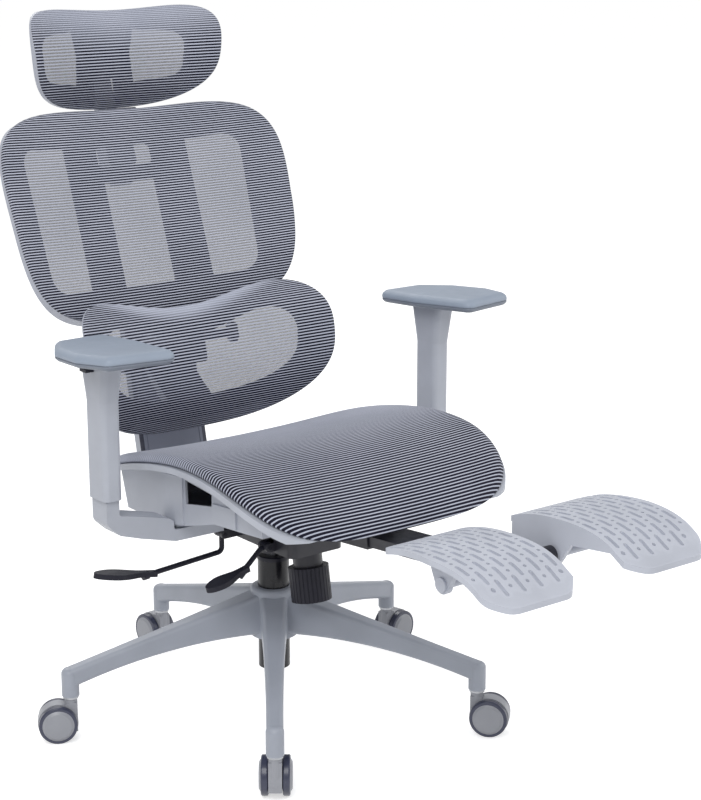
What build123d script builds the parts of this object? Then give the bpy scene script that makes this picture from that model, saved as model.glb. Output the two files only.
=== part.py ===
from build123d import *
import os
from math import atan, cos, degrees, pi, radians, sin, sqrt, tan

os.makedirs("parts", exist_ok=True)

# Reclining office chair with a fold-out footrest.  Millimetres, +Z up, the origin on the floor
# under the gas lift.  The sitter looks along -Y, the sitter's right hand is at -X.

# ---------------------------------------------------------------- driving dimensions
running = 0.05                  # radial clearance of a shaft in its bore
slip = 0.3                      # gap between faces that slide past each other
past = 5.0                      # how far a cutting solid runs past the face it cuts

# star base
leg_count = 5
stem_circle = 332.0             # radius of the circle that the caster stems stand on
front_leg_turn = -125.7         # heading of the first leg, degrees from +X
socket_low = 72.0               # lower end of the caster sockets
socket_radius = 13.5
leg_tip_top = 117.0
leg_tip_under = 86.0
leg_rise = 0.285                # slope of the top edge of a leg
leg_root_under = 137.0
leg_tip_width = 25.0
leg_root_width = 46.0
leg_edge = 7.0                  # rounding of a leg's section
leg_stations = 6
hub_radius = 37.0
hub_top = 212.0

# casters
wheel_diameter = 60.0
tyre_width = 11.0
tyre_depth = 5.5                # from the rim of the hub disc to the tread
wheel_gap = 21.0                # between the two wheels of a caster
hub_dome = 3.0
hood_width = 20.0
hood_radius = 31.0
hood_low = 15.0
caster_trail = 21.0             # from the stem to the wheel axle
caster_headings = (52.0, -50.0, 11.0, 93.0, 152.0)   # as the wheels stand in the photograph
stem_radius = 5.5
stem_low = 34.0
stem_high = 104.0
stem_collar_radius = 12.0
stem_collar_height = 3.7
hood_neck_radius = 10.0
axle_radius = 4.0

# gas lift
tube_radius = 25.0
tube_wall = 1.5
tube_low = 77.0
tube_high = 257.0
tube_floor = 5.0
bush_length = 62.0
bush_cap_height = 7.0
bush_cap_lip = 0.8
column_radius = 14.0
column_low = 100.0
column_high = 318.0
lift_stroke = 80.0
rod_radius = 5.0
rod_low = 69.0
rod_high = 268.0
clip_radius = 9.0
clip_height = 3.0
bearing_height = 8.0
bearing_radius = 15.0
button_radius = 4.0
button_stroke = 6.0
button_proud = 6.0

# mechanism under the seat
box_half_width = 50.0
box_front = -118.0
box_step = -20.0                # the front part of the box is lower, the footrest rail passes over it
box_rear = 86.0
box_low = 295.0
box_step_top = 322.0
box_high = 354.0                # the flat underside of the seat pan rests here
box_wall = 5.0
flange_reach = 17.0
flange_thick = 5.0
bolt_rows = (-4.0, 62.0)        # y of the bolts that hold the box to the pan
bolt_x = 58.0
bolt_radius = 3.0
bolt_head_radius = 6.0
bolt_head_height = 5.0
boss_radius = 23.0
boss_low = 270.0
recline_axis_y = 70.0
recline_axis_z = 326.0
recline_shaft_radius = 6.0
recline_range = 26.0            # degrees that the back leans away from rest
fork_half_width = 65.0
fork_thick = 14.0
tension_y = -88.0               # where the tension tube leaves the box
tension_lean = 9.5              # degrees
tension_tube_radius = 23.0
tension_tube_wall = 3.0
tension_tube_length = 66.0
knob_radius = 31.5
knob_height = 54.0
knob_wall = 4.0
knob_skirt = 40.0               # overlap of the knob and the tube
knob_ribs = 30
screw_radius = 5.0

# levers on the sitter's right
lever_rod_radius = 4.0
lever_pin_radius = 3.0
lug_thick = 5.0
lug_gap = 12.0
tilt_lever_x = -98.0
tilt_lever_y = 0.0
tilt_lever_z = 318.0
tilt_lever_drop = 30.0
tilt_lever_reach = 135.0
tilt_lever_sag = 9.0
tilt_paddle_length = 107.0
tilt_paddle_width = 34.0
height_lever_x = -60.0
height_lever_y = -64.0
height_lever_z = 305.0
height_lever_reach = 44.0
height_lever_fall = 32.0
height_paddle_length = 76.0
height_paddle_width = 30.0
paddle_thick = 8.0
lever_collar_radius = 6.5
lever_collar_length = 9.0
lever_lift = 5.0                # degrees

# seat
seat_half_width = 240.0
seat_front = -342.0
seat_rear = 196.0
seat_squareness = 4.2
seat_taper = 0.05
# crest of the seat, from the rear edge to the waterfall front
seat_line = ((214.0, 396.0), (150.0, 424.0), (60.0, 455.0), (-35.0, 477.0), (-118.0, 486.0),
             (-190.0, 482.0), (-250.0, 466.0), (-300.0, 442.0), (-345.0, 413.0))
seat_low = 405.0                # nothing of the seat's mesh and frame hangs lower
seat_mesh_thick = 15.0
seat_frame_thick = 9.0
seat_rim_width = 50.0
seat_rib_width = 46.0
pan_half_width = 202.0
pan_wall = 4.0
pan_top = 480.0                 # the walls are cut back to the seat frame from this height
pan_rear = 122.0
pan_rear_foot = 102.0
pan_flat_front = -20.0
pan_break_y = -135.0
pan_break_z = 387.0
pan_front = -256.0
pan_front_z = 397.0
pan_relief = 3.0                # how far the raised panels stand out from the side walls
# window in each side wall and the two raised panels beside it, as (y, z)
recess = ((-60.0, 437.0), (-62.0, 400.0), (-130.0, 413.0), (-130.0, 431.0))
side_panel = ((-9.0, 356.0), (-9.0, 436.0), (-56.0, 440.0), (-57.0, 367.0))
side_block = ((-134.0, 419.0), (-193.0, 424.0), (-194.0, 394.0), (-134.0, 389.0))

# arm rests
arm_x = 311.5
arm_y = -16.0
sleeve_wide = 31.0              # across the chair
sleeve_long = 50.0              # along the chair
sleeve_wall = 4.5
sleeve_low = 420.0
sleeve_high = 625.0
sleeve_flare = 10.0             # how much the head of the sleeve grows at its front and rear
flare_height = 58.0
arm_pitch = 4.0                 # degrees that the pads rise towards the front
post_gap = 0.25
post_high = 560.0
arm_stroke = 70.0
bracket_thick = 25.0
bracket_outer = ((322.25, 384.0), (301.0, 364.0), (264.0, 352.0), (204.0, 336.0))
bracket_upper = ((300.75, 394.0), (272.0, 388.0), (216.0, 374.0), (207.0, 368.0), (207.0, 354.0))
bracket_inner_x = 118.0
bracket_flat_x = 204.0
bracket_bolt_x = (132.0, 180.0)
bracket_bolt_y = -9.0
bracket_bolt_seat = 341.0       # the bolt heads sit in counterbores up to this height
pad_top = 652.0                 # over the post; the pads follow the pitch from there
pad_thick = 21.0
pad_edge = 5.0
# outline of a pad before its corners are rounded, as (distance from the middle of the chair, y)
pad_outline = ((262.0, 60.0), (344.0, 58.0), (377.0, 0.0), (386.0, -72.0), (370.0, -134.0),
               (270.0, -156.0), (258.0, -35.0))
pad_corner = 13.0
plate_out = 12.0                # the plate stands this much further out than the post
plate_back = -12.0              # from the post to the middle of the plate, along the pad
rib_length = 90.0
pad_swing = 20.0                # degrees each way
pad_slide = 25.0
trigger_inner = 9.0
trigger_length = 21.0
trigger_thick = 4.0
trigger_slot = 9.0
trigger_roof = 3.0              # what is left of the sleeve over the trigger
plate_pin_radius = 6.0
plate_pin_depth = 11.0
plate_rib_half = 9.0
plate_rib_high = 6.0

# back panels: place of the centre of each stretched mesh, and its lean
upper_y = 324.0
upper_z = 774.0
upper_lean = 20.3
upper_half_width = 265.0
upper_half_height = 197.0
upper_squareness = 3.37
upper_taper = 0.052
upper_dip_top = 27.0            # how far the middle of the upper edge lies under its corners
upper_dip_low = 24.0
upper_wrap = 21.0               # how far the side edges come forward of the centre
upper_bulge = 10.0              # how far the upper and lower edges fall behind the centre
upper_depth = 60.0              # from the mesh back to the middle of the shell
upper_shell_thick = 5.0
upper_wall = 6.0
mesh_thick = 3.0
side_window_inner = 117.0
side_window_outer = 211.0
side_window_corner = 30.0
centre_window_half = 49.0
window_low = -117.0
window_high = 121.0
bridge_low = 60.0               # the bar between the two centre windows
bridge_high = 86.0

lumbar_y = 215.0
lumbar_z = 554.0
lumbar_lean = 15.5
lumbar_half_width = 234.0
lumbar_half_height = 123.0
lumbar_squareness = 2.9
lumbar_taper = 0.03
lumbar_dip_top = 50.0
lumbar_dip_low = -2.0
lumbar_wrap = 76.0
lumbar_bulge = 41.0
lumbar_band = 50.0
lumbar_frame_thick = 6.0
lumbar_bar_height = 15.0
lumbar_bar_thick = 9.0
lumbar_bar_half = 142.0
lumbar_grip_height = 34.0
lumbar_grip_width = 17.0
lumbar_travel = 15.0

head_y = 418.0
head_z = 1025.0
head_lean = 5.0
head_half_width = 176.0
head_half_height = 87.0
head_squareness = 3.4
head_taper = 0.056
head_dip_top = 23.0
head_dip_low = -9.0
head_wrap = 39.0
head_bulge = 38.0
head_depth = 60.0
head_shell_thick = 5.0
head_wall = 5.0
shell_rim = 14.0                # how far the shells stay behind the meshes at the side edges
shell_bulge = 1.0               # the shells behind the meshes are nearly straight from top to bottom
head_window_inner = 50.0
head_window_outer = 140.0
head_window_low = -55.0
head_window_high = 33.0
head_window_corner = 24.0
head_notch_high = -47.0
head_post_half = 18.0
head_post_thick = 12.0
head_post_back = 86.2           # from the upper mesh plane back to the middle of the post
head_post_low = 60.0
head_pivot_up = 256.8           # along the post, from the centre of the upper panel
head_knuckle = 9.0
head_pin_radius = 4.0
head_lug_thick = 8.0
head_travel = 40.0
head_tilt = 25.0
guide_block_half = 27.0
guide_block_low = 90.0
guide_block_high = 150.0
neck_half = 30.0
neck_high = 179.0

# spine of the back, a J seen from the side
spine_half_width = 65.0
spine_thick = 15.0
spine_bend_y = 278.0
spine_bend_radius = 50.0
spine_knee = -174.0             # heights up the upper panel
spine_top = -121.0
spine_eye_radius = 10.0
spine_slot_rear = 102.0
seat_pad_thick = 2.0            # flat seats on the back of the upper shell
cover_half_width = 57.0
cover_depth = 1.6
cover_low = 48.0                # distances up the straight part of the spine
cover_high = 256.0
cover_groove_x = 51.0
back_bolt_x = 34.0
back_bolt_rows = (-158.0, -136.0)

# lumbar carrier, a collar that slides on the straight part of the spine
carrier_low = 183.0
carrier_high = 236.0
carrier_half_width = 82.0
carrier_thick = 9.0
carrier_web = 7.0
carrier_hook = 12.0
lumbar_bar_up = 224.5
strut_half = 42.0

# footrest
rail_half_width = 32.5
rail_thick = 16.0
guide_drop = 3.0                # wall of the guide over and under the rail
rail_slope = 4.86               # degrees
rail_top_at_origin = 349.0      # height of the rail's upper face, run back to the gas lift
rail_rear = -190.0
rail_front = -566.0
rail_travel = 150.0
guide_front = -282.0
guide_rear = -62.0
guide_wall = 2.5
guide_gap = 0.3
axle_y = -586.0
axle_z = 413.0
pedal_axle_radius = 7.0
crosshead_half_width = 40.0
pedal_inner = 45.0
pedal_outer = 198.0
pedal_rear = -500.0
pedal_front = -741.0
pedal_rear_z = 446.0
pedal_front_z = 430.0
pedal_crest = 20.0              # how far the tread rises over the straight line between its ends
pedal_thick = 8.0
pedal_wall = 6.0
pedal_ear_radius = 15.0
pedal_ear_x = 145.6
pedal_ear_thick = 8.0
# holes in the treads: slots and dots take turns along every row, and neighbouring rows are out of step
slot_length = 26.0
slot_width = 6.2
dot_diameter = 5.2
screw_hole = 6.5
hole_rows = 10
row_pitch = 14.4
first_row = 11.0                # from the inner edge of a pedal
hole_start = -514.0
hole_step = 21.0
holes_in_row = 10
corner_cut = 30.0
corner_round = 26.0
pedal_turn = 180.0


# ---------------------------------------------------------------- helpers
def heading(angle, radius):
    return radius * cos(radians(angle)), radius * sin(radians(angle))


def loop_points(half_wide, half_high, squareness, taper, dip_top, dip_low, hollow=1, count=32):
    """Closed rounded outline: a superellipse, wider at its top, whose long edges dip in the middle."""
    points = []
    for i in range(count):
        turn = 2 * pi * i / count
        across = abs(cos(turn)) ** (2 / squareness) * (1 if cos(turn) >= 0 else -1)
        up = abs(sin(turn)) ** (2 / squareness) * (1 if sin(turn) >= 0 else -1)
        x = half_wide * across * (1 + taper * up)
        dip = dip_top * (1 - across ** 2) ** hollow if up > 0 else -dip_low * (1 - across ** 2)
        y = half_high * up - dip * abs(up)
        points.append((x, y))
    return points


def panel_plane(y, z, lean):
    """Plane of a back panel: x to the sitter's left, y up the panel, z towards the sitter."""
    return Plane(origin=(0, y, z), x_dir=(1, 0, 0), z_dir=(0, -cos(radians(lean)), sin(radians(lean))))


def sagitta_radius(half_chord, sagitta):
    return (half_chord ** 2 + sagitta ** 2) / (2 * sagitta)


def sitter_side(plane, depth, wrap, half_wide, bulge, half_high):
    """Solid that fills the sitter's side of a panel surface.

    The surface stands depth behind the panel's plane at its centre.  Its sides come forward by
    wrap at half_wide and its upper and lower edges fall back by bulge at half_high.
    """
    round_radius = sagitta_radius(half_wide, wrap)
    arch_radius = sagitta_radius(half_high, bulge)
    reach = 1.12 * half_high
    fall = arch_radius - sqrt(arch_radius ** 2 - reach ** 2)
    side = Plane(origin=plane.origin, x_dir=plane.z_dir, z_dir=-plane.x_dir)
    pivot = plane.origin + plane.z_dir * (round_radius - depth)
    with BuildPart() as space:
        with BuildSketch(side):
            with BuildLine():
                face = ThreePointArc((-depth - fall, -reach), (-depth, 0), (-depth - fall, reach))
                Polyline(face @ 1, (round_radius - depth, reach), (round_radius - depth, -reach), face @ 0)
            make_face()
        revolve(axis=Axis(pivot, plane.y_dir))
    return space.part


def save(part, label):
    part.label = label
    export_step(part, "parts/" + label + ".step")


# ---------------------------------------------------------------- star base
def leg_top(radius):
    return leg_tip_top + leg_rise * (stem_circle - radius)


def leg_under(radius):
    share = (radius - hub_radius) / (stem_circle - hub_radius)
    return leg_root_under - (leg_root_under - leg_tip_under) * share ** 2


def leg_width(radius):
    share = (stem_circle - radius) / stem_circle
    return leg_tip_width + (leg_root_width - leg_tip_width) * share ** 2


with BuildPart() as leg:
    with BuildSketch(Plane.XY.offset(socket_low)):
        with Locations((stem_circle, 0)):
            Circle(socket_radius)
    extrude(amount=leg_tip_top - socket_low)
    fillet(leg.edges().group_by(Axis.Z)[-1], radius=socket_radius * 0.7)
    for i in range(leg_stations):
        radius = hub_radius * 0.6 + (stem_circle - hub_radius * 0.6) * i / (leg_stations - 1)
        middle = (leg_top(radius) + leg_under(radius)) / 2
        station = Plane(origin=(radius, 0, middle), x_dir=(0, 1, 0), z_dir=(1, 0, 0))
        with BuildSketch(station):
            RectangleRounded(leg_width(radius), leg_top(radius) - leg_under(radius), leg_edge)
    loft()

with BuildPart() as star_base:
    with BuildSketch(Plane.XY.offset(leg_root_under - 6)):
        Circle(hub_radius)
    extrude(amount=hub_top - leg_root_under + 6)
    fillet(star_base.edges().group_by(Axis.Z)[-1], radius=6)
    with PolarLocations(0, leg_count, start_angle=front_leg_turn):
        add(leg.part)
    with BuildSketch(Plane.XY.offset(tube_low)):
        Circle(tube_radius)
    extrude(amount=hub_top - tube_low + past, mode=Mode.SUBTRACT)
    with BuildSketch(Plane.XY.offset(socket_low - past)):
        with PolarLocations(stem_circle, leg_count, start_angle=front_leg_turn):
            Circle(stem_radius)
    extrude(amount=stem_high - socket_low + past, mode=Mode.SUBTRACT)
save(star_base.part, "star_base")

# steel stems pressed into the sockets, each with the thin collar that the caster turns under
with BuildPart() as caster_stems:
    with BuildSketch(Plane.XY.offset(stem_low)):
        with PolarLocations(stem_circle, leg_count, start_angle=front_leg_turn):
            Circle(stem_radius)
    extrude(amount=stem_high - stem_low)
    with BuildSketch(Plane.XY.offset(socket_low - stem_collar_height)):
        with PolarLocations(stem_circle, leg_count, start_angle=front_leg_turn):
            Circle(stem_collar_radius)
    extrude(amount=stem_collar_height)
save(caster_stems.part, "caster_stems")

# ---------------------------------------------------------------- casters
wheel_radius = wheel_diameter / 2
disc_radius = wheel_radius - tyre_depth
hood_top = socket_low - stem_collar_height - slip
wheel_inner = wheel_gap / 2


def caster(index):
    """Hood, hub discs and tyres of one twin-wheel caster, parked as the photograph shows it."""
    leg_turn = front_leg_turn + 360 / leg_count * index
    foot_x, foot_y = heading(leg_turn, stem_circle)
    trail_x, trail_y = heading(caster_headings[index], 1)
    side = Plane(origin=(foot_x, foot_y, 0), x_dir=(trail_x, trail_y, 0), z_dir=(trail_y, -trail_x, 0))
    with BuildPart() as hood:
        with BuildSketch(side):
            with Locations((caster_trail, wheel_radius)):
                Circle(hood_radius)
            with Locations((0, (hood_low + hood_top - 6) / 2)):
                Rectangle(2 * hood_neck_radius - 2, hood_top - 6 - hood_low)
            with Locations((caster_trail, hood_low - hood_radius)):
                Rectangle(4 * hood_radius, 2 * hood_radius, mode=Mode.SUBTRACT)
        extrude(amount=hood_width / 2, both=True)
        with BuildSketch(Plane.XY.offset(hood_low + 8)):
            with Locations((foot_x, foot_y)):
                Circle(hood_neck_radius)
        extrude(amount=hood_top - hood_low - 8)
        with BuildSketch(Plane.XY.offset(stem_low - slip)):
            with Locations((foot_x, foot_y)):
                Circle(stem_radius + running)
        extrude(amount=hood_top - stem_low + past, mode=Mode.SUBTRACT)
        with BuildSketch(side):
            with Locations((caster_trail, wheel_radius)):
                Circle(axle_radius + running)
        extrude(amount=hood_width, both=True, mode=Mode.SUBTRACT)
    with BuildPart() as hubs:
        for way in (1, -1):
            with BuildSketch(side.offset(way * wheel_inner)):
                with Locations((caster_trail, wheel_radius)):
                    Circle(disc_radius)
                    Circle(axle_radius, mode=Mode.SUBTRACT)
            extrude(amount=way * tyre_width)
            with BuildSketch(side.offset(way * (wheel_inner + tyre_width))):
                with Locations((caster_trail, wheel_radius)):
                    Circle(disc_radius)
            extrude(amount=way * hub_dome, taper=55)
        with BuildSketch(side):
            with Locations((caster_trail, wheel_radius)):
                Circle(axle_radius)
        extrude(amount=wheel_inner + tyre_width, both=True)
    with BuildPart() as tyres:
        for way in (1, -1):
            with BuildSketch(side.offset(way * wheel_inner)):
                with Locations((caster_trail, wheel_radius)):
                    Circle(wheel_radius)
                    Circle(disc_radius, mode=Mode.SUBTRACT)
            extrude(amount=way * tyre_width)
        rims = tyres.edges().filter_by(GeomType.CIRCLE).group_by(SortBy.RADIUS)[-1]
        fillet(rims, radius=2.5)
    number = str(index + 1)
    save(hood.part, "caster_" + number + "_hood")
    save(hubs.part, "caster_" + number + "_hubs")
    save(tyres.part, "caster_" + number + "_tyres")


for leg_index in range(leg_count):
    caster(leg_index)

# ---------------------------------------------------------------- gas lift
with BuildPart() as gas_lift_tube:
    with BuildSketch(Plane.XY.offset(tube_low)):
        Circle(tube_radius)
    extrude(amount=tube_high - tube_low)
    with BuildSketch(Plane.XY.offset(tube_low + tube_floor)):
        Circle(tube_radius - tube_wall)
    extrude(amount=tube_high - tube_low, mode=Mode.SUBTRACT)
    with BuildSketch(Plane.XY.offset(tube_low - past)):
        Circle(rod_radius + running)
    extrude(amount=tube_floor + 2 * past, mode=Mode.SUBTRACT)
save(gas_lift_tube.part, "gas_lift_tube")

with BuildPart() as gas_lift_bush:
    with BuildSketch(Plane.XY.offset(tube_high - bush_length)):
        Circle(tube_radius - tube_wall)
    extrude(amount=bush_length)
    with BuildSketch(Plane.XY.offset(tube_high)):
        Circle(tube_radius + bush_cap_lip)
    extrude(amount=bush_cap_height)
    fillet(gas_lift_bush.edges().group_by(Axis.Z)[-1], radius=2)
    with BuildSketch(Plane.XY.offset(tube_high - bush_length - past)):
        Circle(column_radius + running)
    extrude(amount=bush_length + bush_cap_height + 2 * past, mode=Mode.SUBTRACT)
save(gas_lift_bush.part, "gas_lift_bush")

bearing_low = tube_low + tube_floor + running
with BuildPart() as gas_lift_rod:
    with BuildSketch(Plane.XY.offset(rod_low)):
        Circle(rod_radius)
    extrude(amount=rod_high - rod_low)
    with BuildSketch(Plane.XY.offset(tube_low - slip - clip_height)):
        Circle(clip_radius)
    extrude(amount=clip_height)
    # thrust ring that runs on the floor of the tube, and the bump stop under the column
    with BuildSketch(Plane.XY.offset(bearing_low)):
        Circle(bearing_radius)
    extrude(amount=bearing_height)
    with BuildSketch(Plane.XY.offset(bearing_low)):
        Circle(bearing_radius - 3)
    extrude(amount=column_low - running - bearing_low)
save(gas_lift_rod.part, "gas_lift_rod")

with BuildPart() as gas_lift_column:
    with BuildSketch(Plane.XY.offset(column_low)):
        Circle(column_radius)
    extrude(amount=column_high - column_low)
    with BuildSketch(Plane.XY.offset(column_low - past)):
        Circle(rod_radius + running)
    extrude(amount=rod_high - column_low + 2 * past, mode=Mode.SUBTRACT)
    with BuildSketch(Plane.XY.offset(column_high - button_stroke - 2)):
        Circle(button_radius + running)
    extrude(amount=button_stroke + 2 + past, mode=Mode.SUBTRACT)
save(gas_lift_column.part, "gas_lift_column")

with BuildPart() as release_button:
    with BuildSketch(Plane.XY.offset(column_high - 1.5)):
        Circle(button_radius)
    extrude(amount=button_proud + 1.5)
save(release_button.part, "release_button")

# ---------------------------------------------------------------- mechanism
recline_axis = Plane(origin=(0, recline_axis_y, recline_axis_z), x_dir=(0, 1, 0), z_dir=(1, 0, 0))
rocker_side = Plane(origin=(0, 0, 0), x_dir=(0, 1, 0), z_dir=(1, 0, 0))
lug_plane = Plane(origin=(0, 0, 0), x_dir=(-1, 0, 0), z_dir=(0, 1, 0))


def lever_lugs(x, y, z, root_x):
    """Two ears that reach out from the side of the box to carry a lever's pin."""
    with BuildPart() as lugs:
        for way in (1, -1):
            with BuildSketch(lug_plane.offset(y + way * lug_gap / 2)):
                with BuildLine():
                    Polyline((-root_x, z - 7), (-x, z - 7), (-x, z + 7), (-root_x, z + 7), close=True)
                make_face()
                with Locations((-x, z)):
                    Circle(7)
                    Circle(lever_pin_radius + running, mode=Mode.SUBTRACT)
            extrude(amount=way * lug_thick)
    return lugs.part


tilt_lugs = lever_lugs(tilt_lever_x, tilt_lever_y, tilt_lever_z, -box_half_width)
height_lugs = lever_lugs(height_lever_x, height_lever_y, height_lever_z, -box_half_width)
with BuildPart() as mechanism_box:
    with BuildSketch(rocker_side):
        with BuildLine():
            Polyline((box_front, box_low), (box_rear, box_low), (box_rear, box_high), (box_step, box_high),
                     (box_step, box_step_top), (box_front, box_step_top), close=True)
        make_face()
    extrude(amount=box_half_width, both=True)
    fillet(mechanism_box.edges().filter_by(Axis.Z).group_by(Axis.Y)[0], radius=12)
    with BuildSketch(rocker_side):
        with BuildLine():
            Polyline((box_front + box_wall, box_low + box_wall), (box_rear - box_wall, box_low + box_wall),
                     (box_rear - box_wall, box_high + past), (box_step + box_wall, box_high + past),
                     (box_step + box_wall, box_step_top - box_wall),
                     (box_front + box_wall, box_step_top - box_wall), close=True)
        make_face()
    extrude(amount=box_half_width - box_wall, both=True, mode=Mode.SUBTRACT)
    with BuildSketch(Plane.XY.offset(box_high - flange_thick)):
        for way in (1, -1):
            with Locations((way * (box_half_width + flange_reach / 2 - 1), (box_step + box_rear) / 2)):
                Rectangle(flange_reach + 2, box_rear - box_step - 12)
    extrude(amount=flange_thick)
    with BuildSketch(Plane.XY.offset(box_high - flange_thick - past)):
        with Locations(*[(way * bolt_x, y) for way in (1, -1) for y in bolt_rows]):
            Circle(bolt_radius)
    extrude(amount=flange_thick + 2 * past, mode=Mode.SUBTRACT)
    with BuildSketch(Plane.XY.offset(boss_low)):
        Circle(boss_radius)
    extrude(amount=box_low + box_wall + 4 - boss_low)
    with BuildSketch(Plane.XY.offset(boss_low - past)):
        Circle(column_radius)
    extrude(amount=column_high - boss_low + past, mode=Mode.SUBTRACT)
    with BuildSketch(recline_axis):
        Circle(recline_shaft_radius)
    extrude(amount=box_half_width + past, both=True, mode=Mode.SUBTRACT)
    with BuildSketch(rocker_side.offset(-box_half_width - past)):
        with Locations((height_lever_y, height_lever_z + 1)):
            Rectangle(12.4, 18)
    extrude(amount=box_wall + 2 * past, mode=Mode.SUBTRACT)
    add(tilt_lugs)
    add(height_lugs)
save(mechanism_box.part, "mechanism_box")

with BuildPart() as recline_shaft:
    with BuildSketch(recline_axis):
        Circle(recline_shaft_radius)
    extrude(amount=fork_half_width + 4, both=True)
save(recline_shaft.part, "recline_shaft")

tension_plane = Plane(origin=(0, tension_y, box_low), x_dir=(1, 0, 0),
                      z_dir=(0, -sin(radians(tension_lean)), -cos(radians(tension_lean))))
with BuildPart() as tension_tube:
    with BuildSketch(tension_plane.offset(-12)):
        Circle(tension_tube_radius)
    extrude(amount=tension_tube_length + 12)
    with BuildSketch(tension_plane.offset(-14)):
        Circle(tension_tube_radius - tension_tube_wall)
    extrude(amount=tension_tube_length + 14 - 4, mode=Mode.SUBTRACT)
    with BuildSketch(tension_plane.offset(tension_tube_length - 8)):
        Circle(screw_radius + running)
    extrude(amount=20, mode=Mode.SUBTRACT)
    split(bisect_by=Plane.XY.offset(box_low), keep=Keep.BOTTOM)
save(tension_tube.part, "tension_tube")

knob_start = tension_tube_length - knob_skirt
with BuildPart() as tension_knob:
    with BuildSketch(tension_plane.offset(knob_start)):
        Circle(knob_radius)
        with PolarLocations(knob_radius, knob_ribs):
            Circle(0.9, mode=Mode.SUBTRACT)
    extrude(amount=knob_height)
    with BuildSketch(tension_plane.offset(knob_start - past)):
        Circle(tension_tube_radius + slip)
    extrude(amount=past + knob_skirt + slip, mode=Mode.SUBTRACT)
    with BuildSketch(tension_plane.offset(tension_tube_length - 16)):
        Circle(screw_radius)
    extrude(amount=20)
save(tension_knob.part, "tension_knob")

# ---------------------------------------------------------------- levers


def paddle(x_start, x_end, y, z_start, z_end, width):
    """Flat spoon-shaped grip between two points of a lever, in the plane of the rod."""
    length = sqrt((x_end - x_start) ** 2 + (z_end - z_start) ** 2)
    along = ((x_end - x_start) / length, 0, (z_end - z_start) / length)
    flat = Plane(origin=(x_start, y, z_start), x_dir=along, z_dir=(-along[2], 0, along[0]))
    with BuildPart() as grip:
        with BuildSketch(flat):
            with BuildLine():
                Spline((0, 6), (length * 0.3, 7.5), (length * 0.7, width / 2), (length, 0),
                       (length * 0.7, -width / 2), (length * 0.3, -7.5), (0, -6),
                       tangents=[(1, 0), (-1, 0)])
                Line((0, -6), (0, 6))
            make_face()
        extrude(amount=paddle_thick / 2, both=True)
    return grip.part


def rod_along(*points, bend=8.0):
    """Round bar through the given points of the XZ plane at one y."""
    with BuildPart() as bar:
        with BuildLine() as path:
            FilletPolyline(*points, radius=bend)
        start = path.line @ 0
        way = path.line % 0
        with BuildSketch(Plane(origin=start, z_dir=way)):
            Circle(lever_rod_radius)
        sweep(path=path.line)
    return bar.part


def lever_collar(end, start):
    """Plane square to the straight last run of a lever's rod, at its end."""
    return Plane(origin=end, z_dir=(end[0] - start[0], end[1] - start[1], end[2] - start[2]))


tilt_turn = (tilt_lever_x, tilt_lever_y, tilt_lever_z - tilt_lever_drop)
tilt_end = (tilt_lever_x - tilt_lever_reach, tilt_lever_y, tilt_turn[2] - tilt_lever_sag)
tilt_rod = rod_along((tilt_lever_x, tilt_lever_y, tilt_lever_z), tilt_turn, tilt_end)
tilt_grip = paddle(tilt_end[0] + 14, tilt_end[0] - tilt_paddle_length + 14, tilt_lever_y,
                   tilt_end[2] - 1, tilt_end[2] + 19, tilt_paddle_width)
with BuildPart() as tilt_lever:
    add(tilt_rod)
    add(tilt_grip)
    with BuildSketch(lever_collar(tilt_end, tilt_turn)):
        Circle(lever_collar_radius)
    extrude(amount=lever_collar_length)
    with BuildSketch(lug_plane.offset(tilt_lever_y)):
        with Locations((-tilt_lever_x, tilt_lever_z)):
            Circle(6.5)
    extrude(amount=lug_gap / 2 - slip, both=True)
    with BuildSketch(lug_plane.offset(tilt_lever_y)):
        with Locations((-tilt_lever_x, tilt_lever_z)):
            Circle(lever_pin_radius)
    extrude(amount=lug_gap / 2 + lug_thick + 1, both=True)

height_end = (height_lever_x - height_lever_reach, height_lever_y, height_lever_z - height_lever_fall)
press_z = column_high + button_proud + running
height_rod = rod_along((height_lever_x, height_lever_y, height_lever_z),
                       (height_lever_x - 10, height_lever_y, height_lever_z - 2), height_end, bend=4.0)
height_grip = paddle(height_end[0] + 10, height_end[0] - height_paddle_length + 10, height_lever_y,
                     height_end[2] + 4, height_end[2] - 15, height_paddle_width)
with BuildPart() as height_lever:
    add(height_rod)
    add(height_grip)
    with BuildSketch(lever_collar(height_end, (height_lever_x - 10, height_lever_y, height_lever_z - 2))):
        Circle(lever_collar_radius)
    extrude(amount=lever_collar_length)
    with BuildSketch(lug_plane.offset(height_lever_y)):
        with Locations((-height_lever_x, height_lever_z)):
            Circle(6.5)
    extrude(amount=lug_gap / 2 - slip, both=True)
    with BuildSketch(lug_plane.offset(height_lever_y)):
        with Locations((-height_lever_x, height_lever_z)):
            Circle(lever_pin_radius)
    extrude(amount=lug_gap / 2 + lug_thick + 1, both=True)
    # flat arm through the wall of the box, up behind the step and over the release button
    with BuildSketch(lug_plane.offset(height_lever_y)):
        with Locations((38 + (-height_lever_x - 38) / 2, height_lever_z + 0.5)):
            Rectangle(-height_lever_x - 38 + 6, 5)
    extrude(amount=3, both=True)
    with BuildSketch(Plane.XY.offset(height_lever_z - 2)):
        with BuildLine():
            Polyline((-41, height_lever_y - 3), (-35, height_lever_y - 3), (-35, 5), (-41, 5), close=True)
        make_face()
    extrude(amount=5)
    with BuildSketch(Plane.XY.offset(height_lever_z - 2)):
        with BuildLine():
            Polyline((-41, -5), (-35, -5), (-35, 5), (-41, 5), close=True)
        make_face()
    extrude(amount=press_z + 4 - height_lever_z + 2)
    with BuildSketch(Plane.XY.offset(press_z)):
        with BuildLine():
            Polyline((-41, -5), (4, -5), (4, 5), (-41, 5), close=True)
        make_face()
    extrude(amount=4)
save(tilt_lever.part, "tilt_lever")
save(height_lever.part, "height_lever")

# ---------------------------------------------------------------- seat


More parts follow.
